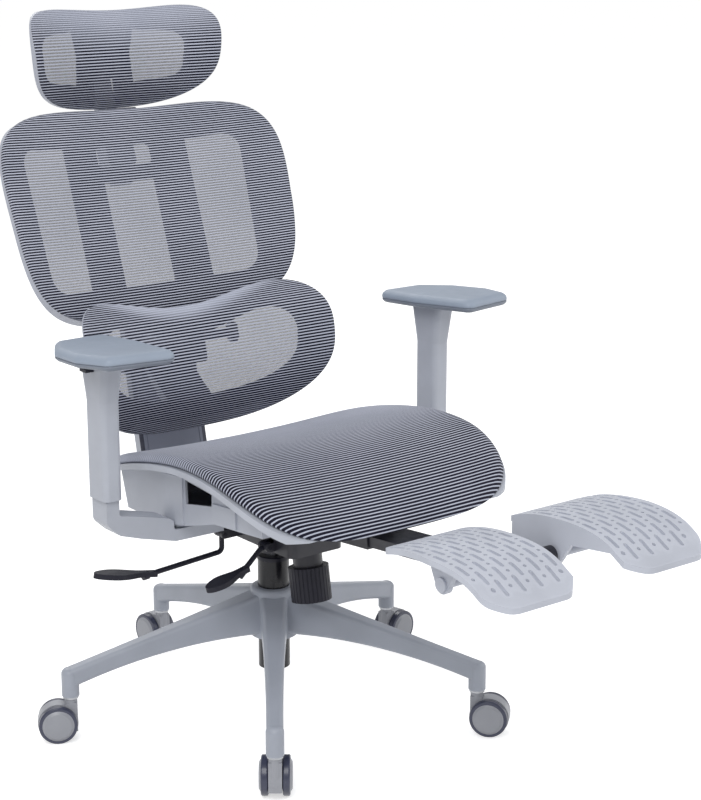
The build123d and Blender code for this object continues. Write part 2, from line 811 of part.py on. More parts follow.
def shifted(points, distance):
    """The line moved square to itself, downwards for a positive distance."""
    moved = []
    for i, (y, z) in enumerate(points):
        y0, z0 = points[max(i - 1, 0)]
        y1, z1 = points[min(i + 1, len(points) - 1)]
        length = sqrt((y1 - y0) ** 2 + (z1 - z0) ** 2)
        moved.append((y - (z1 - z0) / length * distance, z + (y1 - y0) / length * distance))
    return moved


def seat_slab(upper_depth_mm, lower_depth_mm, half_wide):
    """Slab that follows the seat's side line between two depths under it."""
    upper = shifted(seat_line, upper_depth_mm)
    lower = shifted(seat_line, lower_depth_mm)
    with BuildPart() as slab:
        with BuildSketch(rocker_side):
            with BuildLine():
                top = Spline(*upper)
                under = Spline(*lower)
                Line(top @ 0, under @ 0)
                Line(top @ 1, under @ 1)
            make_face()
        extrude(amount=half_wide, both=True)
    return slab.part


def seat_outline(inset):
    middle = (seat_front + seat_rear) / 2
    half_long = (seat_rear - seat_front) / 2
    points = loop_points(seat_half_width - inset, half_long - inset, seat_squareness,
                         -seat_taper, 0, 0)
    Spline(*[(x, middle + y) for x, y in points], periodic=True)


seat_reach = seat_half_width * 1.3
with BuildPart() as seat_mesh:
    with BuildSketch(Plane.XY.offset(seat_low)):
        with BuildLine():
            seat_outline(0)
        make_face()
    extrude(amount=280)
    add(seat_slab(0, seat_mesh_thick, seat_reach), mode=Mode.INTERSECT)
save(seat_mesh.part, "seat_mesh")

with BuildPart() as seat_frame:
    with BuildSketch(Plane.XY.offset(seat_low)):
        with BuildLine():
            seat_outline(-3)
        make_face()
        with BuildLine():
            seat_outline(seat_rim_width)
        make_face(mode=Mode.SUBTRACT)
        for rib_y in (-190, 90):
            with Locations((0, rib_y)):
                Rectangle(2 * (seat_half_width - seat_rim_width + 8), seat_rib_width)
    extrude(amount=280)
    add(seat_slab(seat_mesh_thick, seat_mesh_thick + seat_frame_thick, seat_reach), mode=Mode.INTERSECT)
save(seat_frame.part, "seat_frame")

under_frame = shifted(seat_line, seat_mesh_thick + seat_frame_thick)
with BuildPart() as seat_pan:
    with BuildSketch(rocker_side):
        with BuildLine():
            Polyline((pan_rear, pan_top), (pan_rear, 418), (pan_rear_foot, box_high), (pan_flat_front, box_high),
                     (pan_break_y, pan_break_z), (pan_front, pan_front_z), (pan_front, pan_top),
                     close=True)
        make_face()
    extrude(amount=pan_half_width, both=True)
    with BuildSketch(rocker_side):
        with BuildLine():
            Polyline((pan_rear - pan_wall, pan_top + past), (pan_rear - pan_wall, 418 - pan_wall / 2),
                     (pan_rear_foot - pan_wall, box_high + pan_wall), (pan_flat_front, box_high + pan_wall),
                     (pan_break_y, pan_break_z + pan_wall), (pan_front + pan_wall, pan_front_z + pan_wall),
                     (pan_front + pan_wall, pan_top + past), close=True)
        make_face()
    extrude(amount=pan_half_width - pan_wall, both=True, mode=Mode.SUBTRACT)
    add(seat_slab(-60, seat_mesh_thick + seat_frame_thick, seat_reach), mode=Mode.SUBTRACT)
    with BuildSketch(rocker_side):
        with BuildLine():
            Polyline(*recess, close=True)
        make_face()
    extrude(amount=pan_half_width + past, both=True, mode=Mode.SUBTRACT)
    for way in (1, -1):
        with BuildSketch(rocker_side.offset(way * (pan_half_width - 1))):
            for panel in (side_panel, side_block):
                with BuildLine():
                    Polyline(*panel, close=True)
                make_face()
        extrude(amount=way * (1 + pan_relief))
    with BuildSketch(Plane.XY.offset(box_high - past)):
        with Locations(*[(way * bolt_x, y) for way in (1, -1) for y in bolt_rows]):
            Circle(bolt_radius)
        with Locations(*[(way * x, bracket_bolt_y) for way in (1, -1) for x in bracket_bolt_x]):
            Circle(bolt_radius)
    extrude(amount=pan_wall + 2 * past, mode=Mode.SUBTRACT)
save(seat_pan.part, "seat_pan")

# bolts and nuts that hold the box and the arm brackets under the pan
box_spots = [(way * bolt_x, y) for way in (1, -1) for y in bolt_rows]
bracket_spots = [(way * x, bracket_bolt_y) for way in (1, -1) for x in bracket_bolt_x]
with BuildPart() as pan_bolts:
    for spots, head_top in ((box_spots, box_high - flange_thick), (bracket_spots, bracket_bolt_seat)):
        with BuildSketch(Plane.XY.offset(head_top - bolt_head_height)):
            with Locations(*spots):
                RegularPolygon(bolt_head_radius, 6)
        extrude(amount=bolt_head_height)
        with BuildSketch(Plane.XY.offset(head_top - 1)):
            with Locations(*spots):
                Circle(bolt_radius)
        extrude(amount=box_high + pan_wall + 2 - head_top)
    with BuildSketch(Plane.XY.offset(box_high + pan_wall)):
        with Locations(*(box_spots + bracket_spots)):
            RegularPolygon(bolt_head_radius, 6)
    extrude(amount=bolt_head_height)
save(pan_bolts.part, "pan_bolts")

# ---------------------------------------------------------------- arm rests


def arm(side_sign, name):
    """One arm rest: bracket, sleeve, trigger, slide plate and pad.  side_sign is -1 on the right."""
    across = Plane(origin=(0, arm_y, 0), x_dir=(1, 0, 0), z_dir=(0, -1, 0))
    # plane of the sleeve's sloping head: x to the sitter's left, y rearwards
    head = Plane(origin=(0, arm_y, sleeve_high), x_dir=(1, 0, 0),
                 z_dir=(0, sin(radians(arm_pitch)), cos(radians(arm_pitch))))
    s = side_sign
    post_half = sleeve_wide / 2 - sleeve_wall - post_gap
    post_long = sleeve_long - 2 * sleeve_wall - 2 * post_gap
    with BuildPart() as bracket:
        with BuildSketch(across):
            with BuildLine():
                upper = FilletPolyline((s * (arm_x - post_half), sleeve_low - 2),
                                       *[(s * x, z) for x, z in bracket_upper],
                                       (s * bracket_inner_x, box_high), radius=4)
                outer = FilletPolyline((s * (arm_x + post_half), sleeve_low - 2),
                                       *[(s * x, z) for x, z in bracket_outer],
                                       (s * bracket_inner_x, box_high - bracket_thick + 6), radius=14)
                Line(upper @ 0, outer @ 0)
                Line(upper @ 1, outer @ 1)
            make_face()
        extrude(amount=post_long / 2, both=True)
        with BuildSketch(Plane.XY.offset(sleeve_low - 3)):
            with Locations((s * arm_x, arm_y)):
                RectangleRounded(2 * post_half, post_long, 5)
        extrude(amount=post_high - sleeve_low + 3)
        with BuildSketch(Plane.XY.offset(box_high - 2 * bracket_thick)):
            with Locations(*[(s * x, bracket_bolt_y) for x in bracket_bolt_x]):
                Circle(bolt_head_radius + 1)
        extrude(amount=bracket_bolt_seat - box_high + 2 * bracket_thick, mode=Mode.SUBTRACT)
        with BuildSketch(Plane.XY.offset(box_high - 2 * bracket_thick)):
            with Locations(*[(s * x, bracket_bolt_y) for x in bracket_bolt_x]):
                Circle(bolt_radius)
        extrude(amount=2 * bracket_thick + past, mode=Mode.SUBTRACT)
    save(bracket.part, "arm_bracket_" + name)

    with BuildPart() as sleeve:
        with BuildSketch(Plane.XY.offset(sleeve_low)):
            with Locations((s * arm_x, arm_y)):
                RectangleRounded(sleeve_wide, sleeve_long, 9)
        extrude(amount=sleeve_high - flare_height - sleeve_low)
        with BuildSketch(Plane.XY.offset(sleeve_high - flare_height)):
            with Locations((s * arm_x, arm_y)):
                RectangleRounded(sleeve_wide, sleeve_long, 9)
        with BuildSketch(Plane.XY.offset(sleeve_high + 6)):
            with Locations((s * arm_x, arm_y)):
                RectangleRounded(sleeve_wide + 6, sleeve_long + 2 * sleeve_flare, 9)
        loft()
        with BuildSketch(head):
            with Locations((s * arm_x, 0)):
                Rectangle(2 * sleeve_long, 3 * sleeve_long)
        extrude(amount=30, mode=Mode.SUBTRACT)
        with BuildSketch(Plane.XY.offset(sleeve_low - past)):
            with Locations((s * arm_x, arm_y)):
                RectangleRounded(sleeve_wide - 2 * sleeve_wall, sleeve_long - 2 * sleeve_wall, 5 + post_gap)
        extrude(amount=post_high + slip - sleeve_low + past, mode=Mode.SUBTRACT)
        with BuildSketch(across):
            with Locations((s * (arm_x + trigger_inner + 15), sleeve_high - trigger_slot / 2 - trigger_roof)):
                Rectangle(30, trigger_slot)
        extrude(amount=9, both=True, mode=Mode.SUBTRACT)
        with BuildSketch(head.offset(-plate_pin_depth)):
            with Locations((s * arm_x, 0)):
                Circle(plate_pin_radius + running)
        extrude(amount=plate_pin_depth + past, mode=Mode.SUBTRACT)
    save(sleeve.part, "arm_sleeve_" + name)

    with BuildPart() as trigger:
        with BuildSketch(across):
            with Locations((s * (arm_x + trigger_inner + 1 + trigger_length / 2),
                            sleeve_high - trigger_roof - trigger_slot + slip + trigger_thick / 2)):
                Rectangle(trigger_length, trigger_thick)
        extrude(amount=9 - slip, both=True)
    save(trigger.part, "arm_trigger_" + name)

    pad_low = (pad_top - sleeve_high) * cos(radians(arm_pitch)) - pad_thick
    with BuildPart() as plate:
        with BuildSketch(head.offset(slip)):
            with Locations((s * (arm_x + plate_out), plate_back)):
                SlotOverall(120, 46, rotation=90)
        extrude(amount=pad_low - 2 * slip)
        with BuildSketch(head.offset(1 - plate_pin_depth)):
            with Locations((s * arm_x, 0)):
                Circle(plate_pin_radius)
        extrude(amount=plate_pin_depth + 2)
        with BuildSketch(head.offset(2)):
            with Locations((s * (arm_x + plate_out), plate_back)):
                Rectangle(2 * plate_rib_half, rib_length)
        extrude(amount=pad_low + plate_rib_high - slip - 2)
    save(plate.part, "arm_plate_" + name)

    with BuildPart() as pad:
        with BuildSketch(head.offset(pad_low)):
            with BuildLine():
                FilletPolyline(*[(s * x, y - arm_y) for x, y in pad_outline], radius=pad_corner, close=True)
            make_face()
        extrude(amount=pad_thick)
        chamfer(pad.faces().sort_by(Axis(head.origin, head.z_dir))[-1].edges(), length=pad_edge)
        chamfer(pad.faces().sort_by(Axis(head.origin, head.z_dir))[0].edges(), length=pad_edge)
        with BuildSketch(head.offset(pad_low - past)):
            with Locations((s * (arm_x + plate_out), plate_back)):
                Rectangle(2 * (plate_rib_half + slip), rib_length + 2 * pad_slide + 2)
        extrude(amount=past + plate_rib_high, mode=Mode.SUBTRACT)
    save(pad.part, "arm_pad_" + name)


arm(-1, "right")
arm(1, "left")

# ---------------------------------------------------------------- upper back
upper_plane = panel_plane(upper_y, upper_z, upper_lean)
upper_arch = (upper_bulge, upper_half_height)
panel_reach = 160.0


def upper_outline(inset):
    points = loop_points(upper_half_width - inset, upper_half_height - inset, upper_squareness,
                         upper_taper, upper_dip_top, upper_dip_low)
    Spline(*points, periodic=True)


with BuildPart() as upper_back_mesh:
    with BuildSketch(upper_plane):
        with BuildLine():
            upper_outline(1.5)
        make_face()
    extrude(amount=panel_reach, both=True)
    add(sitter_side(upper_plane, mesh_thick, upper_wrap, upper_half_width, *upper_arch), mode=Mode.INTERSECT)
    add(sitter_side(upper_plane, 0, upper_wrap, upper_half_width, *upper_arch), mode=Mode.SUBTRACT)
save(upper_back_mesh.part, "upper_back_mesh")

spine_seat = upper_depth + upper_shell_thick + seat_pad_thick


def upper_point(up, out):
    """y and z of a point up the upper panel and out of its plane towards the sitter."""
    lean = radians(upper_lean)
    return upper_y + up * sin(lean) - out * cos(lean), upper_z + up * cos(lean) + out * sin(lean)


knee = upper_point(spine_knee, -spine_seat - spine_thick / 2)
spine_end = upper_point(spine_top, -spine_seat - spine_thick / 2)
spine_corner = (spine_bend_y, recline_axis_z)
spine_lean = degrees(atan((knee[0] - spine_corner[0]) / (knee[1] - spine_corner[1])))
spine_plane = panel_plane(spine_corner[0], spine_corner[1], spine_lean)
back_bolt_spots = [(way * back_bolt_x, row) for way in (1, -1) for row in back_bolt_rows]

shell_wrap = upper_depth + upper_wrap - shell_rim
shell_form = (shell_wrap, upper_half_width, shell_bulge, upper_half_height)
with BuildPart() as upper_hollow:
    with BuildSketch(upper_plane):
        with BuildLine():
            upper_outline(upper_wall)
        make_face()
    extrude(amount=panel_reach, both=True)
    add(sitter_side(upper_plane, upper_depth, *shell_form), mode=Mode.INTERSECT)

# holes for the bolts that hold the spine, with spot faces under their heads
with BuildPart() as bolt_cutters:
    with BuildSketch(upper_plane.offset(-spine_seat - past)):
        with Locations(*back_bolt_spots):
            Circle(bolt_radius)
    extrude(amount=spine_seat + past - upper_depth - 1)
    with BuildSketch(upper_plane.offset(-upper_depth - 1)):
        with Locations(*back_bolt_spots):
            Circle(bolt_head_radius + slip)
    extrude(amount=16)

with BuildPart() as upper_back_shell:
    with BuildSketch(upper_plane):
        with BuildLine():
            upper_outline(0)
        make_face()
    extrude(amount=panel_reach, both=True)
    add(sitter_side(upper_plane, upper_depth + upper_shell_thick, *shell_form), mode=Mode.INTERSECT)
    # flat seats for the spine and for the headrest guide
    with BuildSketch(upper_plane.offset(-spine_seat)):
        with Locations((0, (spine_top + spine_knee + 8) / 2)):
            Rectangle(2 * spine_half_width, spine_top - spine_knee - 8)
        with Locations((0, (guide_block_low + guide_block_high) / 2)):
            Rectangle(2 * guide_block_half, guide_block_high - guide_block_low)
    extrude(amount=12)
    add(bolt_cutters.part, mode=Mode.SUBTRACT)
    add(upper_hollow.part, mode=Mode.SUBTRACT)
    # raised lip in the middle of the upper wall
    with BuildSketch(upper_plane.offset(-spine_seat + 2)):
        with Locations((0, neck_high - 12)):
            RectangleRounded(2 * neck_half, 24, 4)
    extrude(amount=28)
    add(sitter_side(upper_plane, mesh_thick, upper_wrap, upper_half_width, *upper_arch), mode=Mode.SUBTRACT)
    with BuildSketch(upper_plane):
        for way in (1, -1):
            with BuildLine():
                FilletPolyline((way * side_window_inner, window_low),
                               (way * (side_window_outer - 10), window_low),
                               (way * side_window_outer, window_high),
                               (way * side_window_inner, window_high), radius=side_window_corner)
                Line((way * side_window_inner, window_high), (way * side_window_inner, window_low))
            make_face()
        with Locations((0, (window_low + bridge_low) / 2)):
            Rectangle(2 * centre_window_half, bridge_low - window_low)
        with Locations((0, (bridge_high + window_high) / 2)):
            RectangleRounded(2 * centre_window_half + 8, window_high - bridge_high, 10)
    extrude(amount=-panel_reach, mode=Mode.SUBTRACT)
save(upper_back_shell.part, "upper_back_shell")

# ---------------------------------------------------------------- spine
with BuildPart() as back_spine:
    with BuildSketch(rocker_side):
        with BuildLine():
            FilletPolyline((recline_axis_y, recline_axis_z), spine_corner, knee, spine_end,
                           radius=spine_bend_radius)
        trace(line_width=spine_thick)
        with Locations((recline_axis_y, recline_axis_z)):
            Circle(spine_eye_radius)
    extrude(amount=spine_half_width, both=True)
    with BuildSketch(Plane.XY.offset(recline_axis_z - 2 * spine_thick)):
        with Locations((0, spine_slot_rear - 50)):
            Rectangle(2 * (box_half_width + slip), 100)
    extrude(amount=4 * spine_thick, mode=Mode.SUBTRACT)
    with BuildSketch(recline_axis):
        Circle(recline_shaft_radius + running)
    extrude(amount=spine_half_width + past, both=True, mode=Mode.SUBTRACT)
    with BuildSketch(upper_plane.offset(-spine_seat + past)):
        with Locations(*back_bolt_spots):
            Circle(bolt_radius)
    extrude(amount=-past - spine_thick * 0.7, mode=Mode.SUBTRACT)
save(back_spine.part, "back_spine")

with BuildPart() as back_bolts:
    with BuildSketch(upper_plane.offset(-upper_depth - 1)):
        with Locations(*back_bolt_spots):
            RegularPolygon(bolt_head_radius, 6)
    extrude(amount=bolt_head_height)
    with BuildSketch(upper_plane.offset(-upper_depth)):
        with Locations(*back_bolt_spots):
            Circle(bolt_radius)
    extrude(amount=upper_depth - spine_seat - spine_thick * 0.7)
save(back_bolts.part, "back_bolts")

with BuildPart() as spine_cover:
    with BuildSketch(spine_plane.offset(spine_thick / 2)):
        with Locations((0, (cover_low + cover_high) / 2)):
            Rectangle(2 * cover_half_width, cover_high - cover_low)
    extrude(amount=cover_depth)
    with BuildSketch(spine_plane.offset(spine_thick / 2 + cover_depth)):
        for way in (1, -1):
            with Locations((way * cover_groove_x, (cover_low + cover_high) / 2)):
                Rectangle(1.6, cover_high - cover_low + 2)
    extrude(amount=-cover_depth / 2, mode=Mode.SUBTRACT)
save(spine_cover.part, "spine_cover")

# ---------------------------------------------------------------- lumbar support
lumbar_plane = panel_plane(lumbar_y, lumbar_z, lumbar_lean)
lumbar_arch = (lumbar_wrap, lumbar_half_width, lumbar_bulge, lumbar_half_height)


def lumbar_outline(inset):
    points = loop_points(lumbar_half_width - inset, lumbar_half_height - inset, lumbar_squareness,
                         lumbar_taper, lumbar_dip_top, lumbar_dip_low, hollow=2)
    Spline(*points, periodic=True)


with BuildPart() as lumbar_mesh:
    with BuildSketch(lumbar_plane):
        with BuildLine():
            lumbar_outline(1.5)
        make_face()
    extrude(amount=panel_reach, both=True)
    add(sitter_side(lumbar_plane, mesh_thick, *lumbar_arch), mode=Mode.INTERSECT)
    add(sitter_side(lumbar_plane, 0, *lumbar_arch), mode=Mode.SUBTRACT)
save(lumbar_mesh.part, "lumbar_mesh")


def lumbar_point(up, out):
    """y and z of a point up the lumbar panel and out of its plane towards the sitter."""
    lean = radians(lumbar_lean)
    return lumbar_y + up * sin(lean) - out * cos(lean), lumbar_z + up * cos(lean) + out * sin(lean)


def spine_point(up, out):
    """y and z of a point up the straight part of the spine and out of its middle plane."""
    lean = radians(spine_lean)
    return (spine_corner[0] + up * sin(lean) - out * cos(lean),
            spine_corner[1] + up * cos(lean) + out * sin(lean))


def lumbar_seat(up):
    """Point in the middle of the lumbar frame's thickness, where a strut is let into it."""
    arch = sagitta_radius(lumbar_half_height, lumbar_bulge)
    fall = arch - sqrt(arch ** 2 - up ** 2)
    return lumbar_point(up, -mesh_thick - lumbar_frame_thick / 2 - fall)


carrier_back = spine_thick / 2 + cover_depth + slip
carrier_front = carrier_back + carrier_thick
with BuildPart() as lumbar_struts:
    with BuildSketch(rocker_side):
        with BuildLine():
            Polyline(spine_point(carrier_high - 14, carrier_front - 1),
                     spine_point(carrier_high, carrier_front - 1),
                     lumbar_seat(58), lumbar_seat(38), close=True)
        make_face()
        with BuildLine():
            Polyline(spine_point(carrier_low, carrier_front - 1),
                     spine_point(carrier_low + 14, carrier_front - 1),
                     lumbar_seat(-88), lumbar_seat(-108), close=True)
        make_face()
    extrude(amount=strut_half, both=True)

with BuildPart() as lumbar_frame:
    with BuildSketch(lumbar_plane):
        with BuildLine():
            lumbar_outline(0)
        make_face()
        with BuildLine():
            lumbar_outline(lumbar_band)
        make_face(mode=Mode.SUBTRACT)
    extrude(amount=panel_reach, both=True)
    add(sitter_side(lumbar_plane, mesh_thick + lumbar_frame_thick, *lumbar_arch), mode=Mode.INTERSECT)
    add(sitter_side(lumbar_plane, mesh_thick, *lumbar_arch), mode=Mode.SUBTRACT)
    add(lumbar_struts.part, mode=Mode.SUBTRACT)
save(lumbar_frame.part, "lumbar_frame")

with BuildPart() as lumbar_carrier:
    with BuildSketch(spine_plane.offset(carrier_back)):
        with Locations((0, (carrier_low + carrier_high) / 2)):
            RectangleRounded(2 * carrier_half_width, carrier_high - carrier_low, 5)
        with Locations((0, lumbar_bar_up)):
            Rectangle(2 * lumbar_bar_half, lumbar_bar_height)
    extrude(amount=carrier_thick)
    with BuildSketch(spine_plane.offset(carrier_back - 1.5)):
        for way in (1, -1):
            with Locations((way * lumbar_bar_half, lumbar_bar_up)):
                SlotOverall(lumbar_grip_height, lumbar_grip_width, rotation=90)
    extrude(amount=carrier_thick + 3)
    web_inner = spine_half_width + slip
    hook_front = -spine_thick / 2 - slip
    for way in (1, -1):
        with BuildSketch(spine_plane.offset(hook_front - 5)):
            with Locations((way * (web_inner + carrier_web / 2), (carrier_low + carrier_high) / 2)):
                Rectangle(carrier_web, carrier_high - carrier_low - 4)
        extrude(amount=carrier_back + 1 - hook_front + 5)
        with BuildSketch(spine_plane.offset(hook_front - 5)):
            with Locations((way * (web_inner + carrier_web - 1 - carrier_hook / 2), (carrier_low + carrier_high) / 2)):
                Rectangle(carrier_hook + 1, carrier_high - carrier_low - 4)
        extrude(amount=5)
    add(lumbar_struts.part)
save(lumbar_carrier.part, "lumbar_carrier")

# ---------------------------------------------------------------- headrest
head_plane = panel_plane(head_y, head_z, head_lean)
head_arch = (head_bulge, head_half_height)
head_form = (head_depth + head_wrap - shell_rim, head_half_width, shell_bulge, head_half_height)


def head_outline(inset):
    points = loop_points(head_half_width - inset, head_half_height - inset, head_squareness,
                         head_taper, head_dip_top, head_dip_low)
    Spline(*points, periodic=True)


with BuildPart() as headrest_mesh:
    with BuildSketch(head_plane):
        with BuildLine():
            head_outline(1.5)
        make_face()
    extrude(amount=panel_reach, both=True)
    add(sitter_side(head_plane, mesh_thick, head_wrap, head_half_width, *head_arch), mode=Mode.INTERSECT)
    add(sitter_side(head_plane, 0, head_wrap, head_half_width, *head_arch), mode=Mode.SUBTRACT)
save(headrest_mesh.part, "headrest_mesh")

with BuildPart() as head_hollow:
    with BuildSketch(head_plane):
        with BuildLine():
            head_outline(head_wall)
        make_face()
    extrude(amount=panel_reach, both=True)
    add(sitter_side(head_plane, head_depth, *head_form), mode=Mode.INTERSECT)

pivot_y, pivot_z = upper_point(head_pivot_up, -head_post_back)
head_axis = Plane(origin=(0, pivot_y, pivot_z), x_dir=(0, 1, 0), z_dir=(1, 0, 0))
lug_inner = head_post_half + slip
with BuildPart() as headrest_lugs:
    for way in (1, -1):
        with BuildSketch(head_axis.offset(way * lug_inner)):
            Circle(head_knuckle)
            with BuildLine():
                Polyline((0, -head_knuckle), (0, head_knuckle), (-26, head_knuckle + 6),
                         (-26, -head_knuckle - 2), close=True)
            make_face()
        extrude(amount=way * head_lug_thick)

with BuildPart() as headrest_shell:
    with BuildSketch(head_plane):
        with BuildLine():
            head_outline(0)
        make_face()
    extrude(amount=panel_reach, both=True)
    add(sitter_side(head_plane, head_depth + head_shell_thick, *head_form), mode=Mode.INTERSECT)
    add(headrest_lugs.part)
    add(head_hollow.part, mode=Mode.SUBTRACT)
    add(sitter_side(head_plane, mesh_thick, head_wrap, head_half_width, *head_arch), mode=Mode.SUBTRACT)
    with BuildSketch(head_plane):
        for way in (1, -1):
            with BuildLine():
                FilletPolyline((way * (head_window_inner + 4), head_window_low),
                               (way * (head_window_outer - 8), head_window_low + 8),
                               (way * head_window_outer, head_window_high - 8),
                               (way * (head_window_inner + 8), head_window_high), radius=head_window_corner)
                Polyline((way * (head_window_inner + 8), head_window_high), (way * head_window_inner, -8),
                         (way * (head_window_inner + 4), head_window_low))
            make_face()
    extrude(amount=-panel_reach, mode=Mode.SUBTRACT)
    # notch at the back of the lower edge, for the post
    with BuildSketch(head_plane.offset(-head_bulge - 13)):
        with Locations((0, head_notch_high - 40)):
            Rectangle(2 * (head_post_half + 1.5), 80)
    extrude(amount=-60, mode=Mode.SUBTRACT)
    with BuildSketch(head_axis):
        Circle(head_pin_radius)
    extrude(amount=60, both=True, mode=Mode.SUBTRACT)
save(headrest_shell.part, "headrest_shell")

with BuildPart() as headrest_pin:
    with BuildSketch(head_axis):
        Circle(head_pin_radius)
    extrude(amount=lug_inner + head_lug_thick, both=True)
    for way in (1, -1):
        with BuildSketch(head_axis.offset(way * (lug_inner + head_lug_thick))):
            Circle(head_pin_radius + 2)
        extrude(amount=way * 2)
save(headrest_pin.part, "headrest_pin")

post_middle = upper_plane.offset(-head_post_back)
with BuildPart() as headrest_post:
    with BuildSketch(post_middle):
        with Locations((0, (head_post_low + head_pivot_up) / 2)):
            Rectangle(2 * head_post_half, head_pivot_up - head_post_low)
    extrude(amount=head_post_thick / 2, both=True)
    with BuildSketch(head_axis):
        Circle(head_knuckle)
    extrude(amount=head_post_half, both=True)
    with BuildSketch(head_axis):
        Circle(head_pin_radius + running)
    extrude(amount=60, both=True, mode=Mode.SUBTRACT)
save(headrest_post.part, "headrest_post")

with BuildPart() as headrest_guide:
    with BuildSketch(upper_plane.offset(-spine_seat)):
        with Locations((0, (guide_block_low + guide_block_high) / 2)):
            RectangleRounded(2 * guide_block_half, guide_block_high - guide_block_low, 6)
    extrude(amount=spine_seat - head_post_back - head_post_thick / 2 - 6)
    with BuildSketch(post_middle):
        with Locations((0, (guide_block_low + guide_block_high) / 2)):
            Rectangle(2 * (head_post_half + slip), guide_block_high - guide_block_low + 2)
    extrude(amount=head_post_thick / 2 + slip, both=True, mode=Mode.SUBTRACT)
save(headrest_guide.part, "headrest_guide")

# ---------------------------------------------------------------- footrest
slope = radians(rail_slope)
rail_plane = Plane(origin=(0, 0, rail_top_at_origin), x_dir=(1, 0, 0), z_dir=(0, sin(slope), cos(slope)))


def along_rail(y):
    """Distance along the rail of a point at depth y; the rail's own direction runs rearwards."""
    return y / cos(slope)


def pan_under(y):
    """Height of the sloping underside of the seat pan in front of its break."""
    return pan_break_z + (pan_front_z - pan_break_z) * (pan_break_y - y) / (pan_break_y - pan_front)


axle_plane = Plane(origin=(0, axle_y, axle_z), x_dir=(0, 1, 0), z_dir=(1, 0, 0))
crosshead_radius = pedal_axle_radius + 6.0
with BuildPart() as footrest_rail:
    with BuildSketch(rail_plane):
        with Locations((0, along_rail((rail_rear + rail_front) / 2))):
            RectangleRounded(2 * rail_half_width, along_rail(rail_rear - rail_front), 4)
    extrude(amount=-rail_thick)
    with BuildSketch(rocker_side):
        with Locations((axle_y, axle_z)):
            Circle(crosshead_radius)
        with BuildLine():
            Polyline((axle_y - 11, axle_z - 5), (axle_y + 11, axle_z + 7), (rail_front + 34, rail_top_at_origin + 49),
                     (rail_front + 34, rail_top_at_origin + 32), (axle_y - 4, axle_z - crosshead_radius),
                     close=True)
        make_face()
    extrude(amount=crosshead_half_width, both=True)
    with BuildSketch(axle_plane):
        Circle(pedal_axle_radius)
    extrude(amount=crosshead_half_width + past, both=True, mode=Mode.SUBTRACT)
save(footrest_rail.part, "footrest_rail")

axle_half = pedal_ear_x + pedal_ear_thick + slip
with BuildPart() as footrest_axle:
    with BuildSketch(axle_plane):
        Circle(pedal_axle_radius)
    extrude(amount=axle_half, both=True)
    for way in (1, -1):
        with BuildSketch(axle_plane.offset(way * axle_half)):
            Circle(pedal_axle_radius + 3)
        extrude(amount=way * 3)
save(footrest_axle.part, "footrest_axle")

with BuildPart() as footrest_guide:
    middle = (guide_front + guide_rear) / 2
    with BuildSketch(rail_plane.offset(guide_drop + guide_gap)):
        with Locations((0, along_rail(middle))):
            Rectangle(2 * (rail_half_width + guide_gap + guide_wall), along_rail(guide_rear - guide_front))
    extrude(amount=-rail_thick - 2 * guide_drop - 2 * guide_gap)
    with BuildSketch(rocker_side):
        for front, rear in ((-254, -232), (-168, -140)):
            with BuildLine():
                Polyline((front, pan_under(front)), (rear, pan_under(rear)), (rear, rail_top_at_origin + 14),
                         (front, rail_top_at_origin + 22), close=True)
            make_face()
    extrude(amount=rail_half_width + guide_gap + guide_wall, both=True)
    with BuildSketch(rail_plane.offset(guide_gap)):
        with Locations((0, along_rail(middle))):
            Rectangle(2 * (rail_half_width + guide_gap), along_rail(guide_rear - guide_front) + 10)
    extrude(amount=-rail_thick - 2 * guide_gap, mode=Mode.SUBTRACT)
save(footrest_guide.part, "footrest_guide")

crest_y = (pedal_rear + pedal_front) / 2 + 8
tread = ((pedal_rear + 6, pedal_rear_z - 3), (pedal_rear - 30, pedal_rear_z + 9), (crest_y, pedal_rear_z + 18),
         (pedal_front + 50, pedal_rear_z + 4), (pedal_front + 25, pedal_front_z + 6),
         (pedal_front - 4, pedal_front_z - 2))


